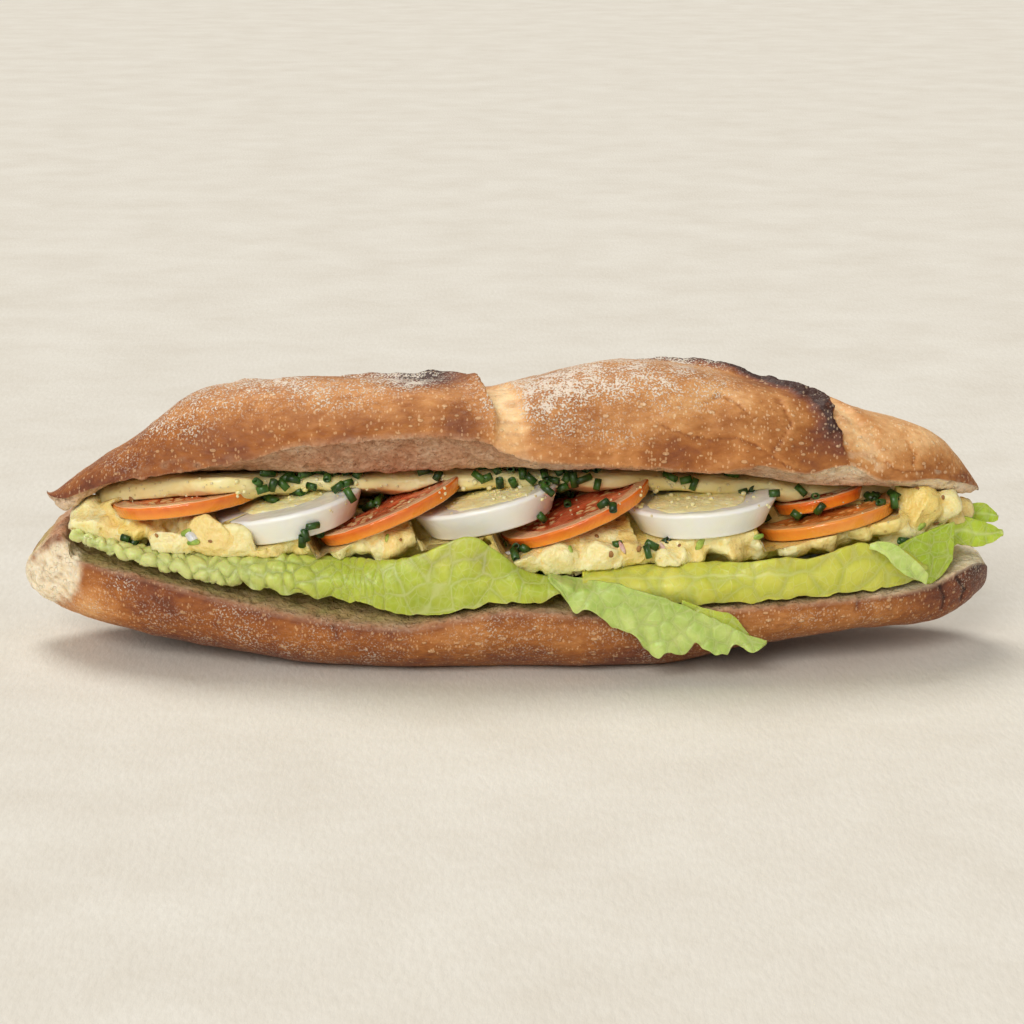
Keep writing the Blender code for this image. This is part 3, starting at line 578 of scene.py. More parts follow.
def top_cut_height(x, y):
    """Height of the upper half's cut face: the crust edge in front, the crumb line, then the back."""
    width = np.maximum(top_half_width(x), 1 * MM)
    across = clamp((y - bend(x) + width) / (2 * width))
    hollow = 4.5 * MM * np.sin(math.pi * across) ** 2 * clamp(width / TOP_HALF_WIDTH)
    cap = end_cap(share_along(TOP_ENDS, x), 30, 0.5)
    crumb = mix(along(TOP_CRUMB_LINE, x), along(TOP_RIM_BACK, x), across)
    lip = (1 - smooth_step(across / CRUMB_LINE_SHARE)) ** 1.5
    return mix(TOP_TIP_HEIGHT, mix(crumb, along(TOP_CRUST_EDGE, x), lip), cap) + hollow


def slash_place(x, y):
    """Signed distance in plan to the nearest slash, negative on its raised ear's side, and which one."""
    best, which = np.full(len(x), 1.0), np.zeros(len(x))
    for number, slash in enumerate(SLASHES):
        for (ax, ay), (bx, by) in zip(slash, slash[1:]):
            run = np.array([bx - ax, by - ay]) * MM
            offset = joined(x - ax * MM, y - ay * MM)
            t = clamp(offset @ run / (run @ run))
            gap = np.linalg.norm(offset - t[:, None] * run, axis=1)
            side = np.where(run[0] * offset[:, 1] - run[1] * offset[:, 0] > 0, 1, -1)
            nearer = gap < np.abs(best)
            best = np.where(nearer, gap * side, best)
            which = np.where(nearer, number, which)
    return best, which


def soft_lumps(points, size, amount):
    return np.array([noise.noise(Vector(p) / size) for p in points]) * amount


def bottom_bread_points(share, turn):
    x = mix(BOTTOM_ENDS[0], BOTTOM_ENDS[1], (share + 1) / 2)
    width = bottom_half_width(x)
    across = clamp((turn - CRUST_TURN) / (1 - CRUST_TURN))
    cut_y = bend(x) + mix(-width, width, across)
    angle = math.pi * clamp(turn / CRUST_TURN)
    crust_y = bend(x) + width * signed_power(np.cos(angle), BOTTOM_SECTION[0])
    rim = bottom_cut_height(x, bend(x) + np.sign(np.cos(angle)) * width)
    base = mix(BOTTOM_TIP_HEIGHT, along(BOTTOM_BASE, x), end_cap(share, 18, 0.45))
    depth = np.maximum(np.sin(angle), 0) ** BOTTOM_SECTION[1]
    crust_z = mix(rim, base, depth)
    swell = soft_lumps(joined(x, crust_y, crust_z), 22 * MM, 0.9 * MM) * depth
    on_cut = turn > CRUST_TURN
    y = np.where(on_cut, cut_y, crust_y - swell * (crust_y < 0))
    z = np.where(on_cut, bottom_cut_height(x, cut_y), np.maximum(crust_z, 0))
    return joined(x, y, z)


def top_bread_points(share, turn):
    x = mix(TOP_ENDS[0], TOP_ENDS[1], (share + 1) / 2)
    width = top_half_width(x)
    across = clamp((turn - CRUST_TURN) / (1 - CRUST_TURN))
    cut_y = bend(x) + mix(-width, width, across)
    angle = math.pi * clamp(turn / CRUST_TURN)
    rise = np.maximum(np.sin(angle), 0) ** TOP_SECTION[1]
    crust_y = bend(x) + width * signed_power(np.cos(angle), TOP_SECTION[0])
    front = top_cut_height(x, bend(x) - width)
    back = top_cut_height(x, bend(x) + width)
    line = mix(front, back, (1 + np.cos(angle)) / 2)
    crest = mix(TOP_TIP_HEIGHT, along(TOP_CREST, x), end_cap(share, 30, 0.5))
    crust_z = line + (crest - (front + back) / 2) * rise
    swell = soft_lumps(joined(x, crust_y, crust_z), 20 * MM, 0.8 * MM) * rise
    crust_z = crust_z + swell * end_cap(share, 6, 0.5)
    on_cut = turn > CRUST_TURN
    y = np.where(on_cut, cut_y, crust_y)
    return joined(x, y, np.where(on_cut, top_cut_height(x, cut_y), crust_z))


# %% [markdown]
# ## Where a mark lies
# Many marks on the crust are known from where they show in the picture. These helpers turn a place
# on the bread into picture points and measure how far it is from a drawn line or a soft patch.
# %% Picture places


def picture_place(points):
    """Where points show in the picture, in its 1024 by 1024 points."""
    y, z = points[:, 1] / MM, points[:, 2] / MM - AIM_HEIGHT
    down = z * math.cos(VIEW_SLOPE) + y * math.sin(VIEW_SLOPE)
    away = y * math.cos(VIEW_SLOPE) - z * math.sin(VIEW_SLOPE)
    near = POINTS_PER_MM * VIEW_DISTANCE / MM / (VIEW_DISTANCE / MM + away)
    return np.stack([PICTURE_MIDDLE + near * points[:, 0] / MM, PICTURE_MIDDLE - near * down], -1)


def line_gap(spots, line):
    """Distance from spots to a drawn line, positive on the left of its direction, and the share run."""
    best, run_share = np.full(len(spots), 999.0), np.zeros(len(spots))
    line = np.array(line, float)
    lengths = np.linalg.norm(np.diff(line, axis=0), axis=1)
    done = 0.0
    for a, b, length in zip(line, line[1:], lengths):
        run, offset = b - a, spots - a
        t = clamp(offset @ run / (run @ run))
        gap = np.linalg.norm(offset - t[:, None] * run, axis=1)
        side = np.where(run[0] * offset[:, 1] - run[1] * offset[:, 0] > 0, -1, 1)
        nearer = gap < np.abs(best)
        best = np.where(nearer, gap * side, best)
        run_share = np.where(nearer, (done + t * length) / lengths.sum(), run_share)
        done += length
    return best, run_share


def patches(spots, marks):
    """The sum of soft round patches, each (u, v, half width, half height, amount)."""
    total = np.zeros(len(spots))
    for u, v, wide, high, amount in marks:
        total += amount * np.exp(-(((spots[:, 0] - u) / wide) ** 2) - ((spots[:, 1] - v) / high) ** 2)
    return total


def crack_marks(spots, lines, least, width):
    """Where drawn cracks run, and the raised flake on one side of each."""
    crack, step = np.zeros(len(spots)), np.zeros(len(spots))
    for line in lines:
        distance, run = line_gap(spots, line)
        ends = np.minimum(1, np.minimum(run, 1 - run) * 8 + least)
        step += ends * np.where(distance > 0, np.exp(-distance / 9), 0)
        crack = np.maximum(crack, ends * np.exp(-((distance / width) ** 2)))
    return crack, step


def bubbles(place, size, widest, seed):
    """The holes in bread crumb, some wide and some narrow."""
    near, _, tag = cells(place * [0.8, 1, 1], size, seed)
    return smooth_step(1 - near / mix(0.35, widest, tag))


def blisters(place, size, radius, left_out, seed):
    """Small round blisters on the crust, with a share of them left out."""
    near, _, tag = cells(place * [0.7, 1, 1], size, seed)
    return smooth_step(1 - near / radius) * (tag > left_out)


# %% [markdown]
# ## The upper half
# A long roll is slashed before baking. In the oven the slash opens: one side lifts into a thin lip,
# called the ear, which burns first, and the stretched dough beside it stays pale. The shape is a
# sphere pulled over the loaf's curves, because its rings run round the loaf as the crust does.
# %% Upper half
bread_top, top_share, top_turn = tube_of_rings("baguette_upper_half", 420, 216, top_bread_points)
place = points_of(bread_top)
spots = picture_place(place)
outward = normals_of(bread_top)
crust = (top_turn <= CRUST_TURN).astype(float)
front_rim = smooth_step(1 - np.abs(top_turn - CRUST_TURN) / 0.03)
rise = np.maximum(np.sin(math.pi * clamp(top_turn / CRUST_TURN)), 0) * crust
body = crust * end_cap(top_share, 8, 0.5)
gap, which = slash_place(place[:, 0], place[:, 1])
jagged = layered(place, 5 * MM, 3, 3) * 1.6 * MM
gap = gap + jagged * (0.5 + 0.7 * which)
ear = np.where(gap < 0, np.exp(-((gap / EAR_SPREAD) ** 2)), np.exp(-((gap / (0.9 * MM)) ** 2)))
opened = smooth_step(gap / (1.2 * MM)) * (1 - smooth_step((gap - SLASH_WIDTH) / (4 * MM)))
fibres = uneven(place * [0.35, 1, 1], 1.6 * MM, 8)
lift = EAR_HEIGHT * ear * (1.1 + 0.5 * uneven(place, 6 * MM, 5))
lift += (0.5 * MM * fibres - SLASH_DEPTH) * opened
lift = lift * np.minimum(1, rise * 1.6) * end_cap(top_share, 6, 0.5)
print("slashes", len(SLASHES), "ear up to", round(float(lift.max()) / MM, 2), "mm")

# %% [markdown]
# ## Cracks, blisters and torn crumb
# A thin crust also cracks into flakes as it cools, with one side of each crack a little higher. The
# cut face isn't crust but crumb: soft, pale and full of bubbles of all sizes, torn at its edge.
# %% Relief of the upper half
TOP_CRACKS = [
    [(652, 418), (668, 428), (690, 433), (708, 440), (735, 437), (752, 444), (772, 455)],
    [(773, 398), (786, 404), (790, 425), (782, 440), (772, 455), (800, 470)],
    [(700, 404), (716, 398), (735, 402), (752, 416)],
    [(868, 452), (880, 462), (906, 470), (930, 468)],
    [(905, 440), (918, 452), (914, 466)],
]
facing = smooth_step((0.35 - outward[:, 1]) / 0.5)
shaken = spots + 1.5 * joined(jagged, -jagged) / MM
crack_line, crack_step = crack_marks(shaken, TOP_CRACKS, 0.15, 1.7)
bubble = bubbles(place, 3.4 * MM, 0.62, 21)
blister = blisters(place, 4.2 * MM, 0.34, 0.45, 40)
torn = layered(place, 3.2 * MM, 3, 60)
lift += crust * (0.30 * MM * layered(place, 9 * MM, 3, 12) + 0.16 * MM * blister)
lift += body * facing * (0.55 * MM * crack_step - 0.45 * MM * crack_line)
lift += (1 - crust) * (-0.9 * MM * bubble + 0.45 * MM * torn)
lift += front_rim * 0.55 * MM * torn * end_cap(top_share, 8, 0.5)
move_points(bread_top, place + outward * (lift * end_cap(top_share, 60, 0.6))[:, None])

# %% [markdown]
# ## How far each place was baked
# A crust isn't one brown. Thin lips burn first, stretched dough stays pale, and flour stays on the
# skin between the slashes. Round soft patches and noise add up to one number a point, which the
# material turns into a colour. A painted image could do it too, but would first need unwrapping.
# %% Bake, flour and crumb of the upper half
BAKE_MARKS = [
    (60, 500, 60, 40, 0.24), (130, 455, 60, 30, 0.10), (412, 379, 32, 9, 0.42), (440, 380, 22, 8, 0.22),
    (230, 440, 110, 44, 0.10), (450, 425, 26, 24, 0.06), (680, 420, 70, 22, 0.06),
    (462, 412, 22, 22, 0.20), (340, 372, 70, 8, 0.10), (372, 470, 120, 12, -0.10),
    (700, 452, 110, 14, 0.10), (770, 382, 36, 10, 0.30), (800, 398, 18, 12, 0.22), (828, 432, 20, 22, 0.30),
    (740, 420, 60, 24, 0.06), (905, 440, 60, 30, -0.20), (700, 400, 60, 18, -0.03),
    (590, 440, 60, 20, -0.04), (500, 400, 20, 30, -0.12), (870, 400, 40, 20, -0.10),
    (930, 462, 30, 12, 0.10), (965, 478, 12, 10, 0.25), (545, 455, 35, 14, -0.10),
    (505, 440, 22, 30, -0.16), (640, 372, 30, 8, 0.06),
]
FLOUR_MARKS = [
    (215, 392, 45, 20, 0.85), (165, 425, 40, 16, 0.55), (280, 378, 60, 13, 0.75), (330, 392, 60, 18, 0.40),
    (408, 380, 34, 10, 0.85), (180, 402, 30, 12, 0.4), (560, 385, 60, 26, 0.85), (620, 372, 60, 22, 0.85),
    (525, 400, 40, 26, 0.6), (680, 388, 50, 20, 0.5), (590, 430, 50, 14, 0.28), (620, 437, 22, 9, 0.35),
    (860, 400, 40, 14, 0.22), (120, 460, 30, 16, 0.18), (610, 355, 90, 14, 0.5), (300, 365, 120, 10, 0.35),
]
back_side = smooth_step((place[:, 1] + 2 * MM) / (10 * MM))
bake = 0.46 + 0.10 * layered(place, 16 * MM, 3, 31) + patches(spots, BAKE_MARKS) * mix(1, 0.4, back_side)
bake += np.where(gap < 0, 0.30 * np.exp(-((gap / (4.5 * MM)) ** 2)), 0) * (0.25 + 0.75 * which) * rise
BURNT_MARKS = [(764, 380, 34, 16, 1.1), (815, 425, 26, 26, 1.1), (400, 378, 60, 14, 1.0)]
burnt = clamp(patches(spots, BURNT_MARKS) + 0.7 * back_side)
scorch = np.exp(-((gap / (2.4 * MM)) ** 2)) * (gap < 0.4 * MM) * (0.12 + 0.42 * which)
scorch *= (0.25 + 0.75 * burnt) * (1 + 0.8 * torn)
bake += scorch * smooth_step(rise * 1.5) * smooth_step((place[:, 0] + 62 * MM) / (20 * MM))
bake += 0.12 * crack_line * facing - 0.12 * crack_step * facing
bake = mix(bake, 0.10 + 0.10 * fibres + 0.10 * torn, opened * smooth_step(rise * 2) * (0.9 - 0.2 * which))
bake += 0.10 * (1 - smooth_step((rise - 0.1) / 0.5)) * (1 - opened)
flour = patches(spots, FLOUR_MARKS) + 0.35 * back_side * (0.6 + layered(place, 22 * MM, 2, 71))
flour = clamp(flour * (0.75 + 0.5 * layered(place, 7 * MM, 3, 51))) * crust * (1 - 0.8 * opened)
pale_edge = smooth_step(1 - (CRUST_TURN - top_turn) / 0.02) * crust
pale_edge *= patches(spots, [(380, 440, 150, 30, 1.0)])
crumb = smooth_step((top_turn - CRUST_TURN) / 0.004 + 0.5)
crumb = clamp(crumb + 0.7 * pale_edge + 0.25 * opened * (fibres > 0.2))
# painted shade: a row of holes at the crust's edge is only painted dark, the mesh is not cut there
hole_near, _, hole_tag = cells(place * [0.75, 1, 1], 2.6 * MM, 57)
hole_row = patches(spots, [(205, 472, 62, 14, 1.5), (948, 472, 20, 12, 1.5), (370, 460, 60, 12, 0.6)])
at_edge = np.abs(CRUST_TURN - top_turn) < 0.035
hole = smooth_step(1.4 - hole_near / 0.40) * (hole_tag > 0.25) * clamp(hole_row) * at_edge
print("holes in the crust's edge:", int((hole > 0.5).sum()), "points")
crumb = np.maximum(crumb, hole)
# painted light: patches where crumb that faces down into the crust's shade is given its pale tone
LIT_CRUMB_MARKS = [
    (840, 462, 60, 22, 1.0), (940, 482, 50, 16, 0.8), (62, 512, 34, 20, 0.6), (560, 470, 60, 12, 0.4),
]
GINGER_MARKS = [(250, 450, 260, 60, 1.0), (700, 455, 130, 16, 0.8)]
store(
    bread_top,
    bake=clamp(bake, 0, 1.1),
    flour=flour,
    crumb=crumb,
    pore=np.maximum(0.6 * bubble * (1 - crust), hole),
    # painted light: the pale crumb tone at marked places, stored under the name fresh
    fresh=clamp(patches(spots, LIT_CRUMB_MARKS)),
    ginger=clamp(patches(spots, GINGER_MARKS)),
    soaked=0,
)

# %% [markdown]
# ## The lower half
# The lower half is baked more evenly. Its left tip is torn open and shows crumb, its right end has a
# small score, and its flat base is paler where it lay on the baking tray.
# %% Lower half
bread_bottom, low_share, low_turn = tube_of_rings("baguette_lower_half", 420, 216, bottom_bread_points)
place = points_of(bread_bottom)
spots = picture_place(place)
outward = normals_of(bread_bottom)
crust = (low_turn <= CRUST_TURN).astype(float)
tip_guard = end_cap(low_share, 60, 0.6)
standing = smooth_step(place[:, 2] / (3 * MM))
torn = layered(place, 3.4 * MM, 3, 61)
bubble = bubbles(place, 3.2 * MM, 0.6, 22)
blister = blisters(place, 4.0 * MM, 0.32, 0.4, 44)
tip_tear = clamp(patches(spots, [(40, 585, 34, 26, 1.5), (60, 560, 22, 22, 0.9)]) - 0.3 + 0.25 * torn)
tip_tear = smooth_step(tip_tear * 1.6) * (place[:, 0] < -118 * MM)
LOW_CRACKS = [
    [(337, 616), (334, 628), (339, 642)],
    [(938, 583), (946, 598), (942, 612)],
    [(955, 575), (966, 590), (960, 604)],
    [(860, 596), (858, 612)],
]
crack_line, _ = crack_marks(spots + 1.2 * torn[:, None], LOW_CRACKS, 0.1, 1.8)
lift = crust * (0.32 * MM * layered(place, 10 * MM, 3, 13) + 0.14 * MM * blister) - 0.6 * MM * crack_line
lift += (1 - crust) * (-0.9 * MM * bubble + 0.45 * MM * torn)
lift += tip_tear * (-0.7 * MM * bubble + 0.7 * MM * torn - 0.6 * MM)
move_points(bread_bottom, place + outward * (lift * tip_guard * standing)[:, None])

# %% [markdown]
# ## Bake and crumb of the lower half
# The same numbers are stored for the lower half. Its cut face under the filling is darkened by an
# olive painted shade, and painted light makes its crumb pale at the torn tip and the right end.
# %% Bake and crumb of the lower half
LOW_BAKE_MARKS = [
    (140, 580, 60, 40, 0.14), (210, 610, 90, 26, 0.10), (48, 538, 22, 14, 0.10), (420, 590, 90, 30, 0.02),
    (520, 610, 160, 30, -0.05), (900, 590, 60, 26, 0.14), (975, 565, 20, 20, 0.22),
    (700, 640, 160, 18, 0.05), (960, 590, 26, 20, 0.10), (88, 610, 26, 24, -0.30),
    (66, 548, 16, 12, 0.10), (505, 640, 240, 14, -0.06),
]
# painted light: a patch at the right end where the crumb is given its pale tone
LOW_LIT_CRUMB_MARKS = [(970, 552, 44, 22, 1.0), (900, 585, 60, 12, 0.5)]
LOW_GINGER_MARKS = [(200, 600, 200, 60, 1.0), (500, 600, 500, 60, 0.6)]
bake = 0.60 + 0.10 * layered(place, 18 * MM, 3, 33) + patches(spots, LOW_BAKE_MARKS)
bake += 0.10 * smooth_step((14 * MM - place[:, 2]) / (10 * MM))
bake -= 0.22 * smooth_step((1.5 * MM - place[:, 2]) / (1.5 * MM))
bake += 0.2 * crack_line
rim = smooth_step(1 - np.abs(low_turn - CRUST_TURN) / 0.012)
# painted shade: the lower cut face below about 30 mm, under the filling, is marked for a dark olive tint
filled_cut_face = smooth_step((low_turn - CRUST_TURN) / 0.02) * (1 - smooth_step((place[:, 2] - 30 * MM) / (6 * MM)))
store(
    bread_bottom,
    bake=clamp(bake + 0.10 * rim * crust, 0, 1.1),
    flour=clamp(0.10 + 0.12 * layered(place, 8 * MM, 3, 52)) * crust,
    crumb=clamp(smooth_step((low_turn - CRUST_TURN) / 0.004 + 0.5) + tip_tear),
    pore=0.6 * bubble * clamp(1 - crust + tip_tear),
    # painted light: the pale crumb tone at the torn tip and the right end, stored under the name fresh
    fresh=clamp(0.9 * tip_tear + patches(spots, LOW_LIT_CRUMB_MARKS)),
    ginger=clamp(patches(spots, LOW_GINGER_MARKS)),
    soaked=clamp(0.75 * filled_cut_face + 0.25 * layered(place, 3 * MM, 3, 63) * filled_cut_face),
)

# %% [markdown]
# ## Crust and crumb
# One material does the whole bread. A ramp goes from pale dough over gold and brown to burnt black,
# driven by how far each place was baked. Flour lies on top as broken white specks, and tiny pale
# blisters dot the crust. Crumb is matt, and its colour holds painted light and shade: its pores are
# painted dark as shade in the holes, it is darker and pinker as painted shade under the crust, a pale
# ivory painted light lies on the torn tip and on marked places, and the lower cut face under the
# filling gets a dark olive painted shade.
# %% Crust material
BAKE_COLOURS = [
    (0.0, (0.95, 0.74, 0.42)),
    (0.2, (0.86, 0.52, 0.24)),
    (0.42, (0.60, 0.27, 0.088)),
    (0.6, (0.37, 0.132, 0.032)),
    (0.78, (0.20, 0.060, 0.026)),
    (1.0, (0.050, 0.018, 0.012)),
]
crust_finish, tree, shader = new_material("baked crust and crumb", 0.58, 0.12, (1.0, 0.55, 0.3), 0.003, 0.28)
spot = coordinates(tree)
stretched = scaled(tree, spot, (0.55, 1.0, 1.0))
blotch = times(tree, minus(tree, tone(tree, spot, 0.011, 2.2), 0.5), 0.12)
mottle = times(tree, minus(tree, tone(tree, stretched, 0.0019, 2.6), 0.5), 0.13)
baked = plus(tree, plus(tree, attribute(tree, "bake"), blotch), mottle)
pale_dots = specks(tree, stretched, 0.0018, 0.25, 0.40)
upright = scaled(tree, spot, (1.0, 0.6, 0.6))
tiny_dots = specks(tree, upright, 0.0008, 0.34, 0.55)
dots = plus(tree, times(tree, pale_dots, 0.10), times(tree, tiny_dots, 0.08))
baked = minus(tree, baked, dots)
crust_colour = colour_ramp(tree, baked, BAKE_COLOURS)
speck_share = plus(tree, times(tree, pale_dots, 0.30), times(tree, tiny_dots, 0.27), True)
crust_colour = mix_colours(tree, speck_share, crust_colour, (0.86, 0.68, 0.46))
ginger = times(tree, attribute(tree, "ginger"), 0.45)
crust_colour = mix_colours(tree, ginger, crust_colour, (1.0, 0.80, 0.52), "MULTIPLY")
dust_patch = tone(tree, spot, 0.0035, 3.2)
dust_grain = tone(tree, spot, 0.0006, 4.5)
dust = times(tree, attribute(tree, "flour"), plus(tree, dust_patch, 0.45))
dust = plus(tree, dust, times(tree, minus(tree, dust_grain, 0.62), 1.2))
dust = times(tree, minus(tree, dust, 0.30), 2.0, True)
dust = times(tree, dust, math_node(tree, "MINIMUM", times(tree, attribute(tree, "flour"), 4.0), 0.85))
crust_colour = mix_colours(tree, dust, crust_colour, (0.83, 0.74, 0.62))
# painted shade: the crumb's base tones are darker and pinker, as crumb looks in the shade of the crust
crumb_tone = two_tones(tree, spot, 0.0011, 2.2, (0.42, 0.23, 0.125), (0.70, 0.49, 0.34))
crumb_tone = mix_colours(tree, tone(tree, spot, 0.007, 2.2), crumb_tone, (0.82, 0.60, 0.48), "MULTIPLY")
# painted shade: the lower cut face under the filling is darkened with an olive tint
soaked = times(tree, attribute(tree, "soaked"), 0.9)
crumb_tone = mix_colours(tree, soaked, crumb_tone, (0.42, 0.35, 0.12))
# painted light: the pale ivory crumb tone, mixed in where the stored fresh share is high
lit_crumb_tone = two_tones(tree, spot, 0.0014, 2.0, (0.90, 0.72, 0.44), (1.0, 0.93, 0.74))
crumb_tone = mix_colours(tree, attribute(tree, "fresh"), crumb_tone, lit_crumb_tone)
# painted shade: pores and the holes at the crust's edge are darkened, as shade inside them
pore = times(tree, attribute(tree, "pore"), 0.75)
crumb_tone = mix_colours(tree, pore, crumb_tone, (0.22, 0.085, 0.03))
crumb_pits = specks(tree, spot, 0.0016, 0.42, 0.7)
paint(tree, shader, mix_colours(tree, attribute(tree, "crumb"), crust_colour, crumb_tone))
rough = plus(tree, 0.50, times(tree, math_node(tree, "MAXIMUM", dust, attribute(tree, "crumb")), 0.42))
tree.links.new(rough, shader.inputs["Roughness"])
relief = plus(tree, times(tree, pale_dots, 0.6), times(tree, tone(tree, stretched, 0.0012, 2.0), 0.7))
relief = plus(tree, relief, times(tree, dust, 0.4))
fluffy = minus(tree, times(tree, tone(tree, spot, 0.0017, 1.6), 1.5), times(tree, crumb_pits, 1.0))
choice = {0: attribute(tree, "crumb"), 2: relief, 3: fluffy}
relief = add_node(tree, "ShaderNodeMix", choice, data_type="FLOAT").outputs[0]
roughen(tree, shader, relief, 0.0004, 0.9)
finish_piece(bread_top, crust_finish, "crust", "bread_top")
finish_piece(bread_bottom, crust_finish, "crust", "bread_bottom")

# %% [markdown]
# ## Lettuce: how a leaf lies
# Two leaves run right through the sandwich. Each one starts as a flat grid. Eight places across the
# loaf, from the front edge over the upper bend and down onto the bread, carry it into its curve.
# %% Sizes of the leaves
LEAF_THICKNESS = 0.8 * MM
BED_GAP = 1.3 * MM
LEAF_SPLIT = 17 * MM
LEFT_LEAF = [
    (-127, 37.6, 36.2, 5), (-123, 36.5, 34.5, 5), (-113, 35, 32.5, 5), (-100, 33.5, 29.5, 5),
    (-88, 33, 26.5, 5), (-75, 33.5, 25.5, 5), (-60, 33.2, 23.5, 6), (-45, 33, 22, 5), (-35, 33.5, 19.5, 3),
    (-25, 36.5, 18.2, 1.2), (-12, 41.4, 20, 0.8), (-3, 36, 22, 1.2), (5, 29.5, 22, 4), (14, 28.5, 21.5, 6),
]
RIGHT_LEAF = [
    (20, 30, 22, 6), (30, 30.8, 21.5, 6), (55, 31.7, 21.5, 5), (70, 33, 21.5, 1.5), (78, 34, 22, 1.2),
    (84, 33, 22.3, 1.2), (92, 35, 22.5, 1.2), (99.5, 36.8, 22.8, 1.2), (106, 34.6, 23, 1.5),
    (112, 34, 23.4, 2), (117, 30, 24.5, 3), (120, 28.5, 25.5, 3),
]
END_LEAF = [
    (118.5, 34.5, 31.5, -10), (121.5, 36, 29, -10), (125, 37.3, 28.5, -9), (130.6, 39.4, 32, -7),
    (137, 37.8, 31, -4), (144.5, 34.4, 33.4, -1),
]
BACK_END_LEAF = [
    (121, 40, 35.5, 6), (128, 42, 36, 7), (135, 41, 35.5, 8), (140, 41, 35, 8), (144.2, 36.8, 35.6, 8),
]

# %% Leaf paths


def on_path(points, t):
    """Points on a smooth path through a row of points, t from 0 to 1."""
    points = np.array(points)
    spans = len(points) - 1
    i = np.minimum((t * spans).astype(int), spans - 1)
    local = (t * spans - i)[:, None]
    row = np.arange(len(t))
    before, start = points[np.maximum(i - 1, 0), row], points[i, row]
    end, after = points[i + 1, row], points[np.minimum(i + 2, spans), row]
    curve = (2 * before - 5 * start + 4 * end - after) * local**2
    curve += (3 * start - 3 * end + after - before) * local**3
    return 0.5 * (2 * start + (end - before) * local + curve)


def through_leaf_places(stations, x, t):
    """Depth and height of a leaf that runs through the sandwich, from its front to its back edge."""
    half = bottom_half_width(x)
    front, back = bend(x) - half, bend(x) + half
    top, low, inset = along(stations, x, 1), along(stations, x, 2), along(stations, x, 3)
    room = clamp(half / (30 * MM), 0.35, 1)
    rim = bottom_cut_height(x, front)
    bed = BED_GAP + 1.6 * MM * smooth_step((np.abs(x) - 112 * MM) / (12 * MM))
    tall = 1 - smooth_step((inset - 1 * MM) / (4 * MM))
    inset = inset * mix(room, 1, tall)
    lowered = np.minimum(top - 1 * MM, 29.5 * MM)
    middle, inner = bend(x), front + 17 * MM * room
    rear = back - 9 * MM * room
    path = [
        (front + 1.5 * MM, np.maximum(low, rim + 1.6 * MM)),
        (front + 0.2 * MM, mix(low, top, 0.5) + 0.8 * MM),
        (front + inset, top),
        (front + inset + mix(5 * MM * room, 0.8 * MM, tall), mix(top - 1 * MM, lowered, tall)),
        (inner, mix(bottom_cut_height(x, inner) + bed, top, 0.3)),
        (middle, bottom_cut_height(x, middle) + bed + 0.6 * MM),
        (rear, bottom_cut_height(x, rear) + bed + 0.4 * MM),
        (back + 2.6 * MM, bottom_cut_height(x, back) + bed + 0.6 * MM),
    ]
    return on_path([joined(*pair) for pair in path], t)


def ruffle(x, t):
    """Waves that grow towards the leaf's front and back edges."""
    edge = np.maximum(np.maximum(1 - t / 0.25, (t - 0.85) / 0.15), 0)
    return edge * (np.sin(x / (3.6 * MM)) + 0.6 * np.sin(x / (2.3 * MM) + 1.3)) * 0.9 * MM


def leaf_grid(name, columns, rows):
    """A flat grid with its two shares for each point: s along the loaf and t across."""
    obj = add_primitive("grid", name, x_subdivisions=columns, y_subdivisions=rows, size=2)
    flat = points_of(obj)
    return obj, (flat[:, 0] + 1) / 2, (flat[:, 1] + 1) / 2


def run_length(points, columns, rows):
    """How far each point of a leaf lies from its front edge, measured over the leaf."""
    sheet = points.reshape(rows + 1, columns + 1, 3)
    steps = np.linalg.norm(np.diff(sheet, axis=0), axis=2)
    return np.concatenate([np.zeros((1, columns + 1)), np.cumsum(steps, axis=0)]).ravel()


def leaf_skin(obj, points, flat_place, cell, puff, vein_share, seed, rib, bright, pallor=0):
    """Puffs up the skin between a net of veins, stores its tones and thickens the sheet."""
    near, after, _ = cells(flat_place, cell, seed)
    fine_near, fine_after, _ = cells(flat_place, cell * 0.38, seed + 3)
    net, fine_net = after - near, fine_after - fine_near
    move_points(obj, points)
    outward = normals_of(obj)
    outward *= np.sign(-outward[: len(outward) // 8, 1].mean())
    dome = smooth_step(net / 0.55) * puff + smooth_step(fine_net / 0.6) * 0.12 * puff
    move_points(obj, points + outward * dome[:, None])
    veins = np.exp(-((net / 0.065) ** 2)) + 0.35 * np.exp(-((fine_net / 0.16) ** 2))
    store(
        obj,
        vein=clamp(veins * vein_share),
        # painted shade: darker along the creases beside the veins, deeper where the skin is puffed more
        valley=np.exp(-((net / 0.22) ** 2)) * smooth_step(puff / (0.6 * MM)),
        rib=rib,
        bright=clamp(bright),
        pallor=pallor,
    )
    apply_modifier(obj, "thickness", "SOLIDIFY", thickness=LEAF_THICKNESS, offset=0)
    return obj


# %% [markdown]
# ## The two leaves that run through
# On the left the leaf is crinkled into small puffy cells with a frilled lower edge. In the middle it
# lies flatter, with a pale net of veins. On the right it is smooth, with a long rib.
# %% Through leaves


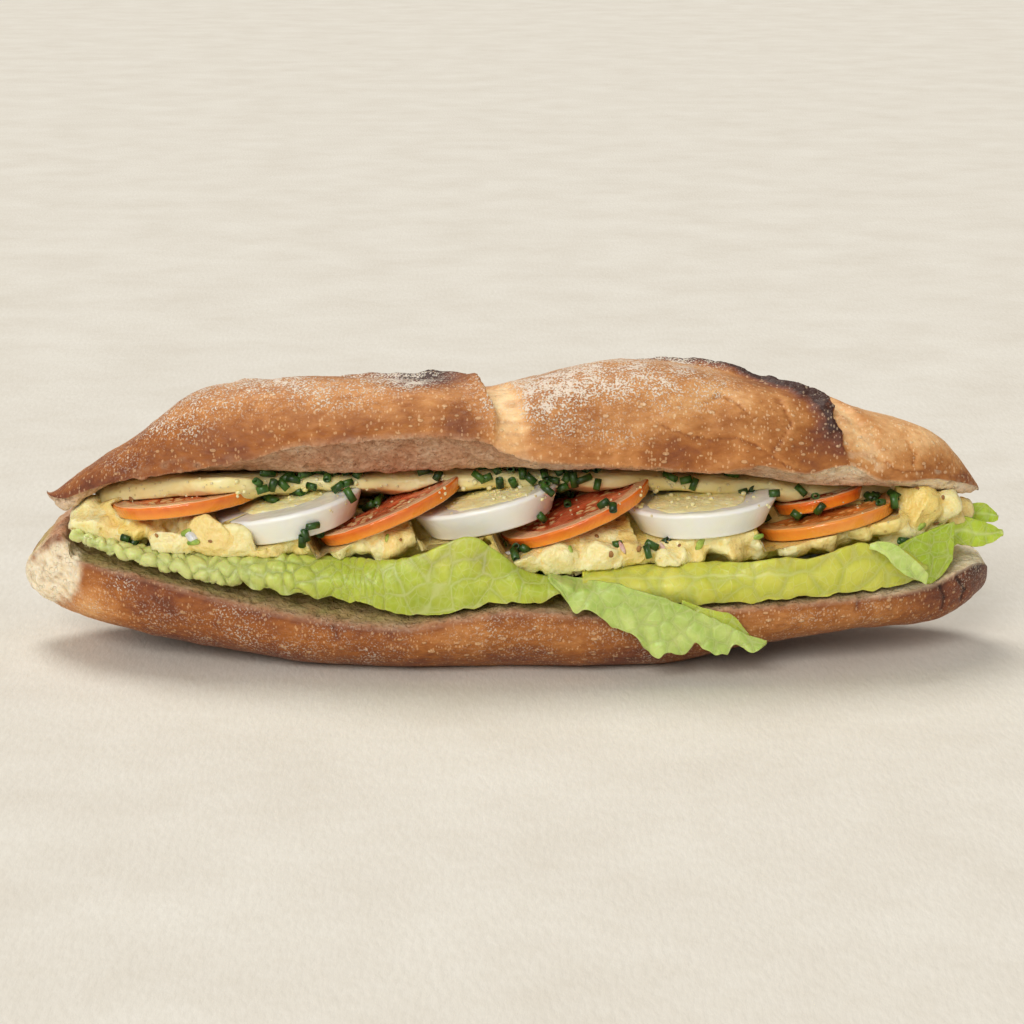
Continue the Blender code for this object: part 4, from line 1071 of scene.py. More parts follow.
def through_leaf(name, stations, columns, rows, seed):
    obj, s, across = leaf_grid(name, columns, rows)
    t = across**1.5
    x = mix(stations[0][0] * MM, stations[-1][0] * MM, s)
    corner = 0.13 * smooth_step((s - 0.94) / 0.06)
    t = corner + (1 - corner) * t
    curl = through_leaf_places(stations, x, t)
    smooth_side = smooth_step((x - 15 * MM) / (5 * MM))
    lift = ruffle(x, t) * mix(1, 0.35, smooth_side)
    crinkled = 1 - smooth_step((x + 66 * MM) / (16 * MM))
    lobes = np.abs(np.sin(x / (2.6 * MM) + 1.5 * uneven(on_line(x), 9 * MM, seed)))
    notch = uneven(on_line(x), 2.2 * MM, seed + 5)
    edge = smooth_step(1 - t / 0.10)
    drop = edge * (mix(0.4 * MM, 1.5 * MM, crinkled) * (1 - lobes) + 0.3 * MM * notch)
    frill = edge * crinkled * 1.4 * MM * np.sin(x / (1.7 * MM) + 2 * notch)
    depth = curl[:, 0] - np.maximum(lift, 0) * (t < 0.3) - np.maximum(frill, -0.8 * MM)
    height = curl[:, 1] + np.abs(lift) * 0.7 + drop
    points = joined(x, depth, height)
    arc = run_length(points, columns, rows)
    puff = mix(mix(0.30 * MM, 0.95 * MM, crinkled), 0.30 * MM, smooth_side)
    swerve = joined(uneven(points, 6 * MM, 1), uneven(points, 6 * MM, 2))
    net_place = joined(x, arc) + 0.8 * MM * swerve
    size = 8.0 * MM
    if name.endswith("crinkled"):
        size = 4.6 * MM
        net_place *= mix(1.0, 0.6, smooth_step((x + 52 * MM) / (20 * MM)))[:, None]
    rib_place = (7.0 + 1.2 * np.sin(x / (30 * MM))) * MM + 0.5 * MM * uneven(points, 9 * MM, 4)
    rib = np.exp(-(((arc - rib_place) / (0.45 * MM)) ** 2)) * smooth_side
    rib *= 0.55 * (1 - smooth_step((x - 75 * MM) / (20 * MM)))
    bright = 0.6 + 0.4 * layered(points, 20 * MM, 2, seed + 9)
    pallor = 0.55 * (1 - smooth_step((x + 96 * MM) / (50 * MM)))
    vein_share = mix(1, 0.55, smooth_side)
    return leaf_skin(obj, points, net_place, size, puff, vein_share, seed, rib, bright, pallor)


crinkled_leaf = through_leaf("lettuce_leaf_crinkled", LEFT_LEAF, 400, 110, 101)
smooth_leaf = through_leaf("lettuce_leaf_smooth", RIGHT_LEAF, 260, 90, 131)

# %% [markdown]
# ## The hanging leaf and the tips
# A pale tongue of lettuce comes out between the two leaves and hangs over the front crust, with its
# lower edge wavy and nicked. Two tips stick out of the right end, with smaller folds of leaf near
# them. The two scales are picture points a millimetre, at the crust and a little further back.
# %% Hanging leaf and tips
CRUST_SCALE = 3.54
FOLD_SCALE = 3.47


def crust_front(x, z):
    """How far forward the lower half's crust reaches at a height."""
    rim = bottom_cut_height(x, bend(x) - bottom_half_width(x))
    depth = clamp((rim - z) / np.maximum(rim, 1 * MM))
    return bend(x) - bottom_half_width(x) * (1 - depth ** (2 / BOTTOM_SECTION[1])) ** (BOTTOM_SECTION[0] / 2)


TONGUE_OUTLINE = [
    (548, 575.5, 577), (552, 575, 583), (560, 576, 592), (569, 577, 605), (576, 578, 613), (584, 579, 608),
    (600, 581, 616), (611, 583, 626), (618, 584, 627), (624, 586, 630), (636, 589, 637), (645, 592, 649),
    (659, 596, 658), (665, 598, 652), (676, 602, 656), (687, 606, 655), (696, 611, 643), (704, 614, 648),
    (713, 618, 653), (727, 625, 654), (735, 629, 646), (745, 634, 648), (753, 637, 652), (761, 639, 650),
    (768, 642, 644),
]
FOLD_OUTLINE = [
    (682, 600, 612), (694, 604, 622), (706, 608, 628), (722, 612, 634), (736, 617, 640), (744, 627, 643),
    (750, 635, 644),
]


def hanging_leaf(name, outline, columns, rows, seed, shift=0.0):
    """A leaf in front of the lower crust, its outline read off the photo as (u, top v, bottom v)."""
    obj, s, t = leaf_grid(name, columns, rows)
    stations = [((u - PICTURE_MIDDLE) / CRUST_SCALE, top, low) for u, top, low in outline]
    x = mix(stations[0][0] * MM, stations[-1][0] * MM, s)
    top, low = along(stations, x, 1) / MM, along(stations, x, 2) / MM
    nick = 1.6 * uneven(on_line(x), 1.8 * MM, seed + 1)
    nick *= smooth_step(1 - t / 0.15) - 0.6 * smooth_step((t - 0.85) / 0.15)
    down = mix(low, top, t) + nick * smooth_step(s * 6) * smooth_step((1 - s) * 8)
    reach = crust_front(x, 12 * MM + 0 * x)
    for _ in range(3):
        rise = (PICTURE_MIDDLE - down) / CRUST_SCALE - reach / MM * math.sin(VIEW_SLOPE)
        z = (AIM_HEIGHT + rise / math.cos(VIEW_SLOPE)) * MM
        rim_y = bend(x) - bottom_half_width(x)
        reach = np.minimum(crust_front(x, np.minimum(z, 16 * MM)), rim_y)
        reach += shift - mix(3.4 * MM, 2.8 * MM, t)
        tucked = smooth_step((t - 0.55) / 0.45) * (1 - smooth_step((x - 18 * MM) / (9 * MM)))
        reach += 8 * MM * tucked
    folds = np.sin(x / (1.9 * MM) + 2.2 * t + 1.5 * uneven(on_line(x), 7 * MM, seed + 2))
    wavy = smooth_step(1 - t / 0.6) * (0.75 * MM * folds - 0.3 * MM)
    points = joined(x, reach + wavy, z)
    rib = np.exp(-(((t - 0.80 + 0.1 * s) / 0.03) ** 2)) * 0.35 * (1 - s)
    bright = 0.85 - 0.25 * smooth_step((s - 0.7) / 0.3) + 0.2 * layered(points, 12 * MM, 2, seed)
    return leaf_skin(obj, points, points[:, [0, 2]], 5.2 * MM, 0.3 * MM, 0.7, seed, rib, bright)


def end_leaf(name, stations, columns, rows, inward, seed):
    """A leaf tip that sticks out of the right end, with its root curling under the salad."""
    obj, s, t = leaf_grid(name, columns, rows)
    x = mix(stations[0][0] * MM, stations[-1][0] * MM, s)
    top, bottom = along(stations, x, 1), along(stations, x, 2)
    curl = inward * (1 - s) * smooth_step(t) * 5 * MM
    y = along(stations, x, 3) + curl + 0.9 * MM * np.sin(x / (2.6 * MM) + 3 * t) * s
    nick = 0.7 * MM * uneven(on_line(x), 2.4 * MM, seed) * (2 * t - 1)
    nick *= smooth_step(s * 4) * smooth_step((1 - s) * 6)
    points = joined(x, y, mix(bottom, top, t) + nick)
    rib = np.exp(-(((t - 0.5) / 0.08) ** 2)) * 0.6
    bright = 0.55 + 0.3 * layered(points, 10 * MM, 2, seed)
    return leaf_skin(obj, points, points[:, [0, 2]], 5.0 * MM, 0.3 * MM, 0.8, seed, rib, bright)


LEAF_FRILL = 0.5 * MM


def drawn_leaf(name, outline, columns, rows, seed, bright):
    """A small leaf piece from places read off the photo, as (u, top v, bottom v, depth in mm)."""
    obj, s, t = leaf_grid(name, columns, rows)
    u = mix(outline[0][0], outline[-1][0], s)
    top, low, depth = (along(outline, u * MM, column) / MM for column in (1, 2, 3))
    nick = 1.2 * uneven(on_line(u * MM), 7 * MM, seed) * (1 - t)
    nick *= smooth_step(s * 6) * smooth_step((1 - s) * 6)
    down = mix(low, top, t) + nick
    rise = (PICTURE_MIDDLE - down) / FOLD_SCALE - depth * math.sin(VIEW_SLOPE)
    z = AIM_HEIGHT + rise / math.cos(VIEW_SLOPE)
    wave = LEAF_FRILL * np.sin(u / 5.0 + 3 * t) * (1 - t)
    points = joined((u - PICTURE_MIDDLE) / FOLD_SCALE * MM, depth * MM + wave, z * MM)
    bright = bright + 0.3 * layered(points, 8 * MM, 2, seed)
    return leaf_skin(obj, points, points[:, [0, 2]], 5.0 * MM, 0.25 * MM, 0.8, seed, 0, bright)


FLAP_OUTLINE = [
    (866, 543, 547, -27.5), (876, 541, 552, -28.5), (888, 543, 562, -29), (900, 551, 572, -29),
    (912, 561, 579, -28), (924, 573, 584, -26.5),
]
INNER_OUTLINE = [
    (886, 552, 566, -22), (898, 545, 574, -21), (912, 538, 580, -19), (928, 531, 583, -17),
    (942, 526, 578, -15), (956, 522, 560, -13),
]
tongue_leaf = hanging_leaf("lettuce_tongue", TONGUE_OUTLINE, 260, 90, 151)
fold_leaf = hanging_leaf("lettuce_tongue_fold", FOLD_OUTLINE, 90, 40, 161, 1.6 * MM)
flap_leaf = drawn_leaf("lettuce_fold_right", FLAP_OUTLINE, 90, 40, 191, 0.9)
# painted shade: the inner leaf is given a low brightness, for the shaded inside of the fold
inner_leaf = drawn_leaf("lettuce_inner_right", INNER_OUTLINE, 110, 60, 201, 0.3)
front_tip = end_leaf("lettuce_tip_front", END_LEAF, 110, 60, 1, 171)
back_tip = end_leaf("lettuce_tip_back", BACK_END_LEAF, 90, 40, -1, 181)

# %% [markdown]
# ## Leaf finish
# Lettuce is waxy and lets light through. Its veins are paler than the skin between them, and the
# valleys of a crinkled leaf get a deeper green as painted shade. Subsurface light keeps it fresh, and a soft
# gloss wet.
# %% Leaf material


def leaf_material(name, dark, light):
    made, tree, shader = new_material(name, 0.36, 0.35, (0.5, 1.0, 0.2), 0.003, 0.45)
    spot = coordinates(tree)
    bright = times(tree, attribute(tree, "bright"), tone(tree, spot, 0.006, 1.4))
    green = mix_colours(tree, bright, dark, light)
    green = mix_colours(tree, attribute(tree, "pallor"), green, (0.74, 0.76, 0.38))
    # painted shade: deeper green along the creases beside the veins
    green = mix_colours(tree, times(tree, attribute(tree, "valley"), 0.6), green, (0.22, 0.27, 0.02))
    inputs = {"Vector": scaled(tree, spot, (1.0, 0.8, 0.7)), "Scale": 1 / 0.0030}
    net = add_node(tree, "ShaderNodeTexVoronoi", inputs, feature="DISTANCE_TO_EDGE")
    thread = minus(tree, 1.0, times(tree, net.outputs["Distance"], 14.0), True)
    pale = math_node(tree, "MAXIMUM", times(tree, attribute(tree, "vein"), 0.5), attribute(tree, "rib"))
    pale = math_node(tree, "MAXIMUM", pale, times(tree, thread, 0.30))
    green = mix_colours(tree, times(tree, pale, 0.8), green, (0.74, 0.80, 0.40))
    paint(tree, shader, green)
    height = plus(tree, times(tree, tone(tree, spot, 0.0011, 2.0), 0.5), pale)
    roughen(tree, shader, height, 0.00025, 0.6)
    return made


leaf_finish = leaf_material("fresh lettuce", (0.36, 0.46, 0.025), (0.76, 0.82, 0.12))
# painted light: a brighter, yellower copy of the lettuce finish, for the lit right leaf
lit_leaf_finish = leaf_material("bright lettuce", (0.55, 0.58, 0.045), (0.86, 0.85, 0.17))
pale_leaf_finish = leaf_material("pale lettuce", (0.32, 0.48, 0.06), (0.74, 0.86, 0.28))
dark_leaf_finish = leaf_material("dark lettuce", (0.34, 0.48, 0.02), (0.78, 0.86, 0.09))
finish_piece(crinkled_leaf, leaf_finish, "lettuce", "lettuce_left")
finish_piece(smooth_leaf, lit_leaf_finish, "lettuce", "lettuce_right")
finish_piece(tongue_leaf, pale_leaf_finish, "lettuce", "lettuce_hanging")
finish_piece(fold_leaf, leaf_finish, "lettuce")
finish_piece(flap_leaf, pale_leaf_finish, "lettuce")
finish_piece(inner_leaf, dark_leaf_finish, "lettuce")
finish_piece(front_tip, dark_leaf_finish, "lettuce", "lettuce_end")
finish_piece(back_tip, dark_leaf_finish, "lettuce", "lettuce_end_back")

# %% [markdown]
# ## How the slices lie
# Egg and tomato slices lean on each other like roof tiles. Each has a centre, a radius, a roll to
# the side and a pitch to the front. One outline, turned round like a lathe, makes any of them.
# %% Slices
EGG_THICKNESS = 8.4 * MM
TOMATO_THICKNESS = 4.0 * MM
BACK_THICKNESS = 3.6 * MM
EGG_UNDERSIDE = 0.84
TOMATO_UNDERSIDE = 0.95
EGG_SLICES = [
    ("egg_slice_left", (-64.8, -11.5, 46.9), 21.8, 12, 0),
    ("egg_slice_middle", (-8.0, -11.5, 48.3), 22.0, 13, 2),
    ("egg_slice_right", (54.5, -11.5, 47.9), 22.4, 5, 0),
]
TOMATO_SLICES = [
    ("tomato_slice_left", (-94.5, -7, 47.9), 22.2, 8, 4),
    ("tomato_slice_middle", (-36.2, -11.5, 45.7), 23.0, 23, 3),
    ("tomato_slice_right", (18.0, -11.5, 45.5), 23.5, 22, 0),
    ("tomato_slice_end", (91.5, -5.5, 41.8), 20.5, 13, 5),
]
BACK_SLICE = ("tomato_slice_back", (89.5, -2.5, 46.2), 13, 13, 7)
ALL_SLICES = [(each, EGG_THICKNESS, EGG_UNDERSIDE) for each in EGG_SLICES]
ALL_SLICES += [(each, TOMATO_THICKNESS, TOMATO_UNDERSIDE) for each in TOMATO_SLICES]
ALL_SLICES.append((BACK_SLICE, BACK_THICKNESS, TOMATO_UNDERSIDE))


def slice_frame(centre, roll, pitch):
    """Where a slice lies: its upper face's centre, its right side up and its front side up."""
    stand = Matrix.Translation(Vector(centre) * MM)
    rolled = Matrix.Rotation(math.radians(-roll), 4, "Y")
    return stand @ rolled @ Matrix.Rotation(math.radians(-pitch), 4, "X")


def carried(points, matrix):
    matrix = np.array(matrix)
    return points @ matrix[:3, :3].T + matrix[:3, 3]


def turned_disc(name, radius, thickness, edge, underside=0.97, rings=110, segments=160):
    """A disc whose upper face is at height zero: a sphere pulled over a round-edged outline."""
    obj = add_primitive("uv_sphere", name, segments=segments, ring_count=rings, radius=1)
    ball = points_of(obj)
    polar = np.arccos(clamp(ball[:, 2], -1, 1)) / math.pi
    angle = np.arctan2(ball[:, 1], ball[:, 0])
    bends = np.linspace(0, math.pi / 2, 7)
    upper_bend = radius - edge + edge * np.sin(bends)
    out = [0, *upper_bend, *(underside * radius - edge + edge * np.cos(bends)), 0]
    down = [0, *(edge * np.cos(bends) - edge), *(-thickness + edge - edge * np.sin(bends)), -thickness]
    stops = [0, *np.linspace(0.44, 0.50, 7), *np.linspace(0.64, 0.70, 7), 1]
    reach, height = np.interp(polar, stops, out), np.interp(polar, stops, down)
    shape = 1 + 0.012 * np.sin(2 * angle + radius / MM) + 0.008 * np.sin(5 * angle)
    flat = joined(np.cos(angle), np.sin(angle)) * (reach * shape)[:, None]
    return obj, np.column_stack([flat, height]), reach / radius, angle, (polar > 0.47) & (polar < 0.67)


# %% [markdown]
# ## Boiled egg
# The white is smooth, wet and a little see-through at its edge. The yolk is a separate crumbly dome
# that sits in it off centre, with loose crumbs round it, so its edge shows as a real step.
# %% Egg slices
YOLK_PLACES = {
    "egg_slice_left": (-1.5, 1.0, 13.2),
    "egg_slice_middle": (2.0, -6.0, 13.0),
    "egg_slice_right": (-1.5, -6.0, 14.0),
}
white_finish, tree, shader = new_material("boiled egg white", 0.24, 0.55, (1.0, 0.85, 0.6), 0.004, 0.5)
spot = coordinates(tree)
white = two_tones(tree, spot, 0.006, 1.6, (0.97, 0.96, 0.83), (0.99, 0.985, 0.92))
white = mix_colours(tree, attribute(tree, "smear"), white, (0.90, 0.80, 0.40))
paint(tree, shader, white)
roughen(tree, shader, tone(tree, spot, 0.0022, 1.6), 0.0002, 0.35)
yolk_finish, tree, shader = new_material("boiled egg yolk", 0.6, 0.4, (1.0, 0.7, 0.25), 0.003, 0.3)
spot = coordinates(tree)
yellow = two_tones(tree, spot, 0.0024, 2.0, (1.0, 0.82, 0.32), (1.0, 0.95, 0.56))
yellow = mix_colours(tree, specks(tree, spot, 0.0016, 0.3, 0.4), yellow, (1.0, 0.96, 0.68))
paint(tree, shader, yellow)
roughen(tree, shader, tone(tree, spot, 0.0012, 3.0), 0.0002, 0.6)


def egg_slice(name, centre, radius, roll, pitch):
    lie = slice_frame(centre, roll, pitch)
    sizes = (radius * MM, EGG_THICKNESS, 1.0 * MM, EGG_UNDERSIDE)
    obj, points, _, _, _ = turned_disc("white_of_" + name, *sizes)
    dents = 0.14 * MM * layered(points, 9 * MM, 2, 7) + 0.05 * MM * layered(points, 2.4 * MM, 2, 9)
    points[:, 2] += dents * (points[:, 2] > -1 * MM)
    move_points(obj, carried(points, lie))
    face_outwards(obj)
    yolk_x, yolk_y, yolk_radius = YOLK_PLACES[name]
    rim = np.hypot(points[:, 0] - yolk_x * MM, points[:, 1] - yolk_y * MM) / (yolk_radius * MM)
    smear = smooth_step(1.5 - rim) * smooth_step(0.4 + layered(points, 3 * MM, 3, 14))
    store(obj, smear=0.8 * smear * (points[:, 2] > -0.5 * MM))
    finish_piece(obj, white_finish, "egg", name)
    sizes = (yolk_radius * MM, 3 * MM, 0.6 * MM, 0.97, 100, 128)
    yolk, points, reach, _, _ = turned_disc("yolk_of_" + name, *sizes)
    crumbly = layered(points, 2.2 * MM, 4, 17)
    pits, _, _ = cells(points, 2.4 * MM, 19)
    upper = points[:, 2] > -1.4 * MM
    points[:, :2] *= (1 + 0.05 * layered(points, 4 * MM, 3, 23))[:, None]
    dome = 0.6 * (1 - reach**4) + 0.22 * crumbly - 0.2 * smooth_step(1 - pits / 0.35)
    points[:, 2] += upper * dome * MM
    points += [yolk_x * MM, yolk_y * MM, 0.15 * MM]
    move_points(yolk, carried(points, lie))
    face_outwards(yolk)
    finish_piece(yolk, yolk_finish, "egg")


for each in EGG_SLICES:
    egg_slice(*each)

# %% [markdown]
# ## Tomato
# A tomato slice has a thin shiny skin, a firm pale wall under it, walls like spokes, and wet pockets
# with seeds between them. The pockets are sunk a little and the seeds stand up in them.
# %% Tomato slices
tomato_finish, tree, shader = new_material("ripe tomato", 0.13, 0.3, (1.0, 0.35, 0.15), 0.003, 0.6)
spot = coordinates(tree)
skin_tone = two_tones(tree, spot, 0.004, 1.6, (0.72, 0.10, 0.012), (0.90, 0.24, 0.02))
skin_tone = mix_colours(tree, attribute(tree, "lower"), skin_tone, (0.92, 0.30, 0.022))
flesh = two_tones(tree, spot, 0.002, 2.4, (0.62, 0.08, 0.035), (0.80, 0.20, 0.09))
flesh = mix_colours(tree, attribute(tree, "wall"), flesh, (0.88, 0.50, 0.28))
flesh = mix_colours(tree, times(tree, attribute(tree, "pocket"), 0.8), flesh, (0.46, 0.04, 0.015))
flesh = mix_colours(tree, attribute(tree, "seed"), flesh, (0.82, 0.58, 0.28))
red = mix_colours(tree, attribute(tree, "skin"), flesh, skin_tone)
red = mix_colours(tree, times(tree, attribute(tree, "orange"), 0.55), red, (0.92, 0.42, 0.06))
paint(tree, shader, red)
roughen(tree, shader, tone(tree, spot, 0.0013, 2.0), 0.00022, 0.6)


def tomato_slice(name, centre, radius, roll, pitch, thickness=TOMATO_THICKNESS):
    sizes = (radius * MM, thickness, 0.8 * MM, TOMATO_UNDERSIDE)
    obj, points, reach, angle, side = turned_disc("cut_" + name, *sizes)
    spokes = np.abs(np.sin(2.5 * angle + radius))
    pocket = smooth_step((0.80 - reach) / 0.08) * smooth_step((reach - 0.24) / 0.1)
    pocket *= smooth_step((spokes - 0.32) / 0.3)
    near, _, tag = cells(points[:, :2] * [1.0, 1.25], 2.7 * MM, int(radius * 10))
    seed = smooth_step((0.42 - near) / 0.16) * pocket * (tag > 0.3)
    flat = (~side).astype(float)
    points_height = points[:, 2].copy()
    relief = 0.35 * seed - 0.5 * pocket + 0.1 * layered(points, 3 * MM, 2, 3)
    points[:, 2] += flat * np.sign(points[:, 2] + thickness / 2) * MM * relief
    points[:, :2] *= (1 + 0.006 * layered(points, 7 * MM, 2, 6))[:, None]
    move_points(obj, carried(points, slice_frame(centre, roll, pitch)))
    face_outwards(obj)
    wall = smooth_step((reach - 0.80 + 0.04 * layered(points, 5 * MM, 2, 8)) / 0.06)
    store(
        obj,
        pocket=pocket * flat,
        seed=seed * flat,
        wall=wall * flat,
        skin=side,
        lower=smooth_step((-0.3 * thickness - points_height) / (0.5 * thickness)) * side,
        orange={"tomato_slice_end": 0.9, "tomato_slice_left": 0.3}.get(name, 0.12),
    )
    finish_piece(obj, tomato_finish, "tomato", name)


for each in TOMATO_SLICES:
    tomato_slice(*each)
tomato_slice(*BACK_SLICE, BACK_THICKNESS)


SAUCE_GAP = 0.3 * MM
SALAD_GAP = 0.35 * MM


def pressed_out(points, margin, upwards):
    """Moves points that would be inside a slice to its nearest free side, as a slice presses a heap."""
    points = points.copy()
    for (name, centre, radius, roll, pitch), thickness, underside in ALL_SLICES:
        frame_in = slice_frame(centre, roll, pitch)
        q = carried(points, frame_in.inverted())
        reach = np.hypot(q[:, 0], q[:, 1])
        limit = radius * MM * (1 + 0.01 * np.sin(2 * np.arctan2(q[:, 1], q[:, 0]) + radius))
        limit = limit * mix(1, underside, clamp(-q[:, 2] / thickness)) + margin
        if not upwards and name != "tomato_slice_left":
            covered = (np.abs(q[:, 0]) < limit) & (q[:, 1] < 0) & (q[:, 2] > -thickness - margin)
            covered &= points[:, 0] > -74 * MM
            q[:, 2] = np.where(covered, -thickness - margin, q[:, 2])
            points = np.where(covered[:, None], carried(q, frame_in), points)
        inside = (reach < limit) & (q[:, 2] < margin) & (q[:, 2] > -thickness - margin)
        out_gap, free = limit - reach, margin if upwards else -thickness - margin
        sideways = out_gap < np.abs(free - q[:, 2])
        grow = np.where(inside & sideways, limit / np.maximum(reach, 1e-6), 1.0)
        q[:, :2] *= grow[:, None]
        q[:, 2] = np.where(inside & ~sideways, free, q[:, 2])
        points = np.where(inside[:, None], carried(q, frame_in), points)
    return points


# %% [markdown]
# ## Mayonnaise
# The sauce is a thick spread under the upper crust, with a fat bead along its front edge. It is a
# sphere pulled along the sandwich, then pushed up out of the slices, with soft waves from the knife.
# %% Mayonnaise


def mayonnaise_points(share, turn):
    x = mix(-123 * MM, 112 * MM, (share + 1) / 2)
    half = end_cap(share, 9, 0.5)
    set_back = mix(3.0 * MM, 15.0 * MM, smooth_step((x + 86 * MM) / (30 * MM)))
    front = mix(bend(x), bend(x) - np.maximum(top_half_width(x) - set_back, 1 * MM), half)
    back = bend(x) + np.maximum(top_half_width(x) - 5 * MM, 1 * MM) * half
    angle = math.tau * turn
    across = (1 + signed_power(np.cos(angle), FILLING_SECTION)) / 2
    y = mix(front, back, across)
    roof = top_cut_height(x, y) - 0.9 * MM
    bead = mix(9.5 * MM, 7.0 * MM, smooth_step((x + 88 * MM) / (30 * MM)))
    drop = mix(bead, 9.0 * MM, smooth_step(across * 1.6)) * mix(0.35, 1, half)
    bottom = roof - drop + soft_lumps(joined(x, y, 0 * x), 14 * MM, 0.8 * MM) * half
    wave = 2.4 * MM * uneven(on_line(x), 11 * MM, 4) * (1 - across)
    bottom = bottom + 1.8 * MM * uneven(on_line(x), 8 * MM, 6) * (1 - across)
    height = (roof + bottom) / 2 + (roof - bottom) / 2 * signed_power(np.sin(angle), FILLING_SECTION)
    return joined(x, y + wave, height)


sauce, sauce_share, _ = tube_of_rings("mayonnaise_spread", 300, 120, mayonnaise_points)
place = points_of(sauce)
outward = normals_of(sauce)
waves = 0.45 * MM * layered(place * [0.6, 1, 1.3], 5 * MM, 3, 83) * end_cap(sauce_share, 20, 0.5)
place = pressed_out(place + outward * waves[:, None], SAUCE_GAP, True)
place[:, 2] = np.minimum(place[:, 2], top_cut_height(place[:, 0], place[:, 1]) - 0.5 * MM)
move_points(sauce, place)
apply_modifier(sauce, "soften", "SMOOTH", factor=0.5, iterations=3)
sauce_finish, tree, shader = new_material("mayonnaise with mustard", 0.3, 0.4, (1.0, 0.8, 0.35), 0.003, 0.45)
spot = coordinates(tree)
cream = two_tones(tree, spot, 0.005, 2.0, (0.90, 0.74, 0.30), (0.95, 0.86, 0.48))
pepper = times(tree, specks(tree, spot, 0.0026, 0.16, 0.3), 0.45)
paint(tree, shader, mix_colours(tree, pepper, cream, (0.45, 0.27, 0.05)))
roughen(tree, shader, tone(tree, spot, 0.0016, 2.0), 0.0003, 0.5)
finish_piece(sauce, sauce_finish, "mayonnaise", "mayonnaise")

# %% [markdown]
# ## Chicken and egg salad: the core and its chunks
# The salad is a heap of chopped chicken and egg, coated in sauce. The core is one bare heap. Chunks
# with flat cut sides are joined to it and remeshed into one skin, which fills the creases as the
# coating does. Then the heap is pressed down by the slices and kept on its lettuce bed.
# %% Salad core and chunks
BIG_LUMPS = [
    ((-121, -9, 37.8), 7.4), ((-113, -13, 36), 6), ((-124, -3, 40.5), 6.0), ((-95, -24, 36), 6.5),
    ((-87, -27, 39.5), 7.4), ((-79, -28, 38), 6.2), ((-71, -29, 36), 5.2), ((5, -29, 33), 5.5),
    ((14, -30, 32.5), 6), ((25, -30, 34), 7), ((33, -30, 36), 5), ((44, -29, 33), 5), ((108, -12, 42), 7.5),
    ((117, -8, 44), 7), ((125, -4, 44), 6.5), ((113, -14, 37), 6), ((130, 0, 40), 5.5),
]


def heap_points(share, turn):
    x = mix(-127 * MM, 129 * MM, (share + 1) / 2)
    half = end_cap(share, 5, 0.5)
    front = bend(x) - (bottom_half_width(x) - 7.5 * MM) * half
    back = bend(x) + (bottom_half_width(x) - 6 * MM) * half
    leaf_top = np.where(x < LEAF_SPLIT, along(LEFT_LEAF, x, 1), along(RIGHT_LEAF, x, 1))
    angle = math.tau * turn
    y = mix(front, back, (1 + signed_power(np.cos(angle), FILLING_SECTION)) / 2)
    forward = 1 - smooth_step((y - front) / (18 * MM))
    bed = bottom_cut_height(x, y) + BED_GAP + 2.2 * MM
    under = mix(bed, np.maximum(bed, np.minimum(leaf_top, 37 * MM) + 1.2 * MM), forward)
    roof = mix(43 * MM, 36.5 * MM, smooth_step(y / (26 * MM)))
    roof = np.maximum(roof + 3 * MM * smooth_step((np.abs(x) - 80 * MM) / (25 * MM)), under + 2 * MM)
    depth = (roof - under) / 2 * np.maximum(half, 0.05)
    return joined(x, y, (under + roof) / 2 + depth * signed_power(np.sin(angle), FILLING_SECTION))


def chunk(centre, size, draw):
    """One chopped piece: a ball cut flat by a few random planes, then stretched and turned."""
    obj = add_primitive("ico_sphere", "chunk", subdivisions=4, radius=1)
    ball = points_of(obj)
    planes = draw.normal(size=(9, 3))
    planes /= np.linalg.norm(planes, axis=1)[:, None]
    reach = (draw.uniform(0.66, 0.95, 9) / np.maximum(ball @ planes.T, 0.05)).min(axis=1)
    stretch = [draw.uniform(0.9, 1.35), draw.uniform(0.75, 1), draw.uniform(0.7, 0.95)]
    cut = ball * np.minimum(reach, 1.15)[:, None] * stretch
    spin = Matrix.Rotation(draw.uniform(0, math.tau), 3, "Z")
    turn = spin @ Matrix.Rotation(draw.uniform(-0.7, 0.7), 3, "X")
    move_points(obj, cut @ np.array(turn).T * size + centre)
    return obj


SALAD_GRAIN = 0.74 * MM
FRONT_CHUNKS_X = (-121 * MM, 126 * MM)
BACK_CHUNKS_X = (-108 * MM, 112 * MM)
draw = np.random.default_rng(5)
chunk_places = [(np.array(spot_mm) * MM, size * MM) for spot_mm, size in BIG_LUMPS]
x = FRONT_CHUNKS_X[0]
while x < FRONT_CHUNKS_X[1]:
    half = float(bottom_half_width(x))
    top = float(along(LEFT_LEAF if x < LEAF_SPLIT else RIGHT_LEAF, x, 1))
    for row in range(2):
        height = max(top, 31 * MM) + draw.uniform(1.5, 4.5) * MM + 4 * MM * row
        depth = bend(x) - half + draw.uniform(7.5, 10.5) * MM + 3 * MM * row
        centre = np.array([x + draw.uniform(-2, 2) * MM, depth, height])
        chunk_places.append((centre, draw.uniform(2.6, 4.8) * MM))
    x += draw.uniform(4.5, 6.5) * MM
x = BACK_CHUNKS_X[0]
while x < BACK_CHUNKS_X[1]:
    depth = bend(x) + float(bottom_half_width(x)) - draw.uniform(6.5, 9) * MM
    chunk_places.append((np.array([x, depth, draw.uniform(33, 38) * MM]), draw.uniform(3.6, 6.2) * MM))
    x += draw.uniform(6, 9) * MM

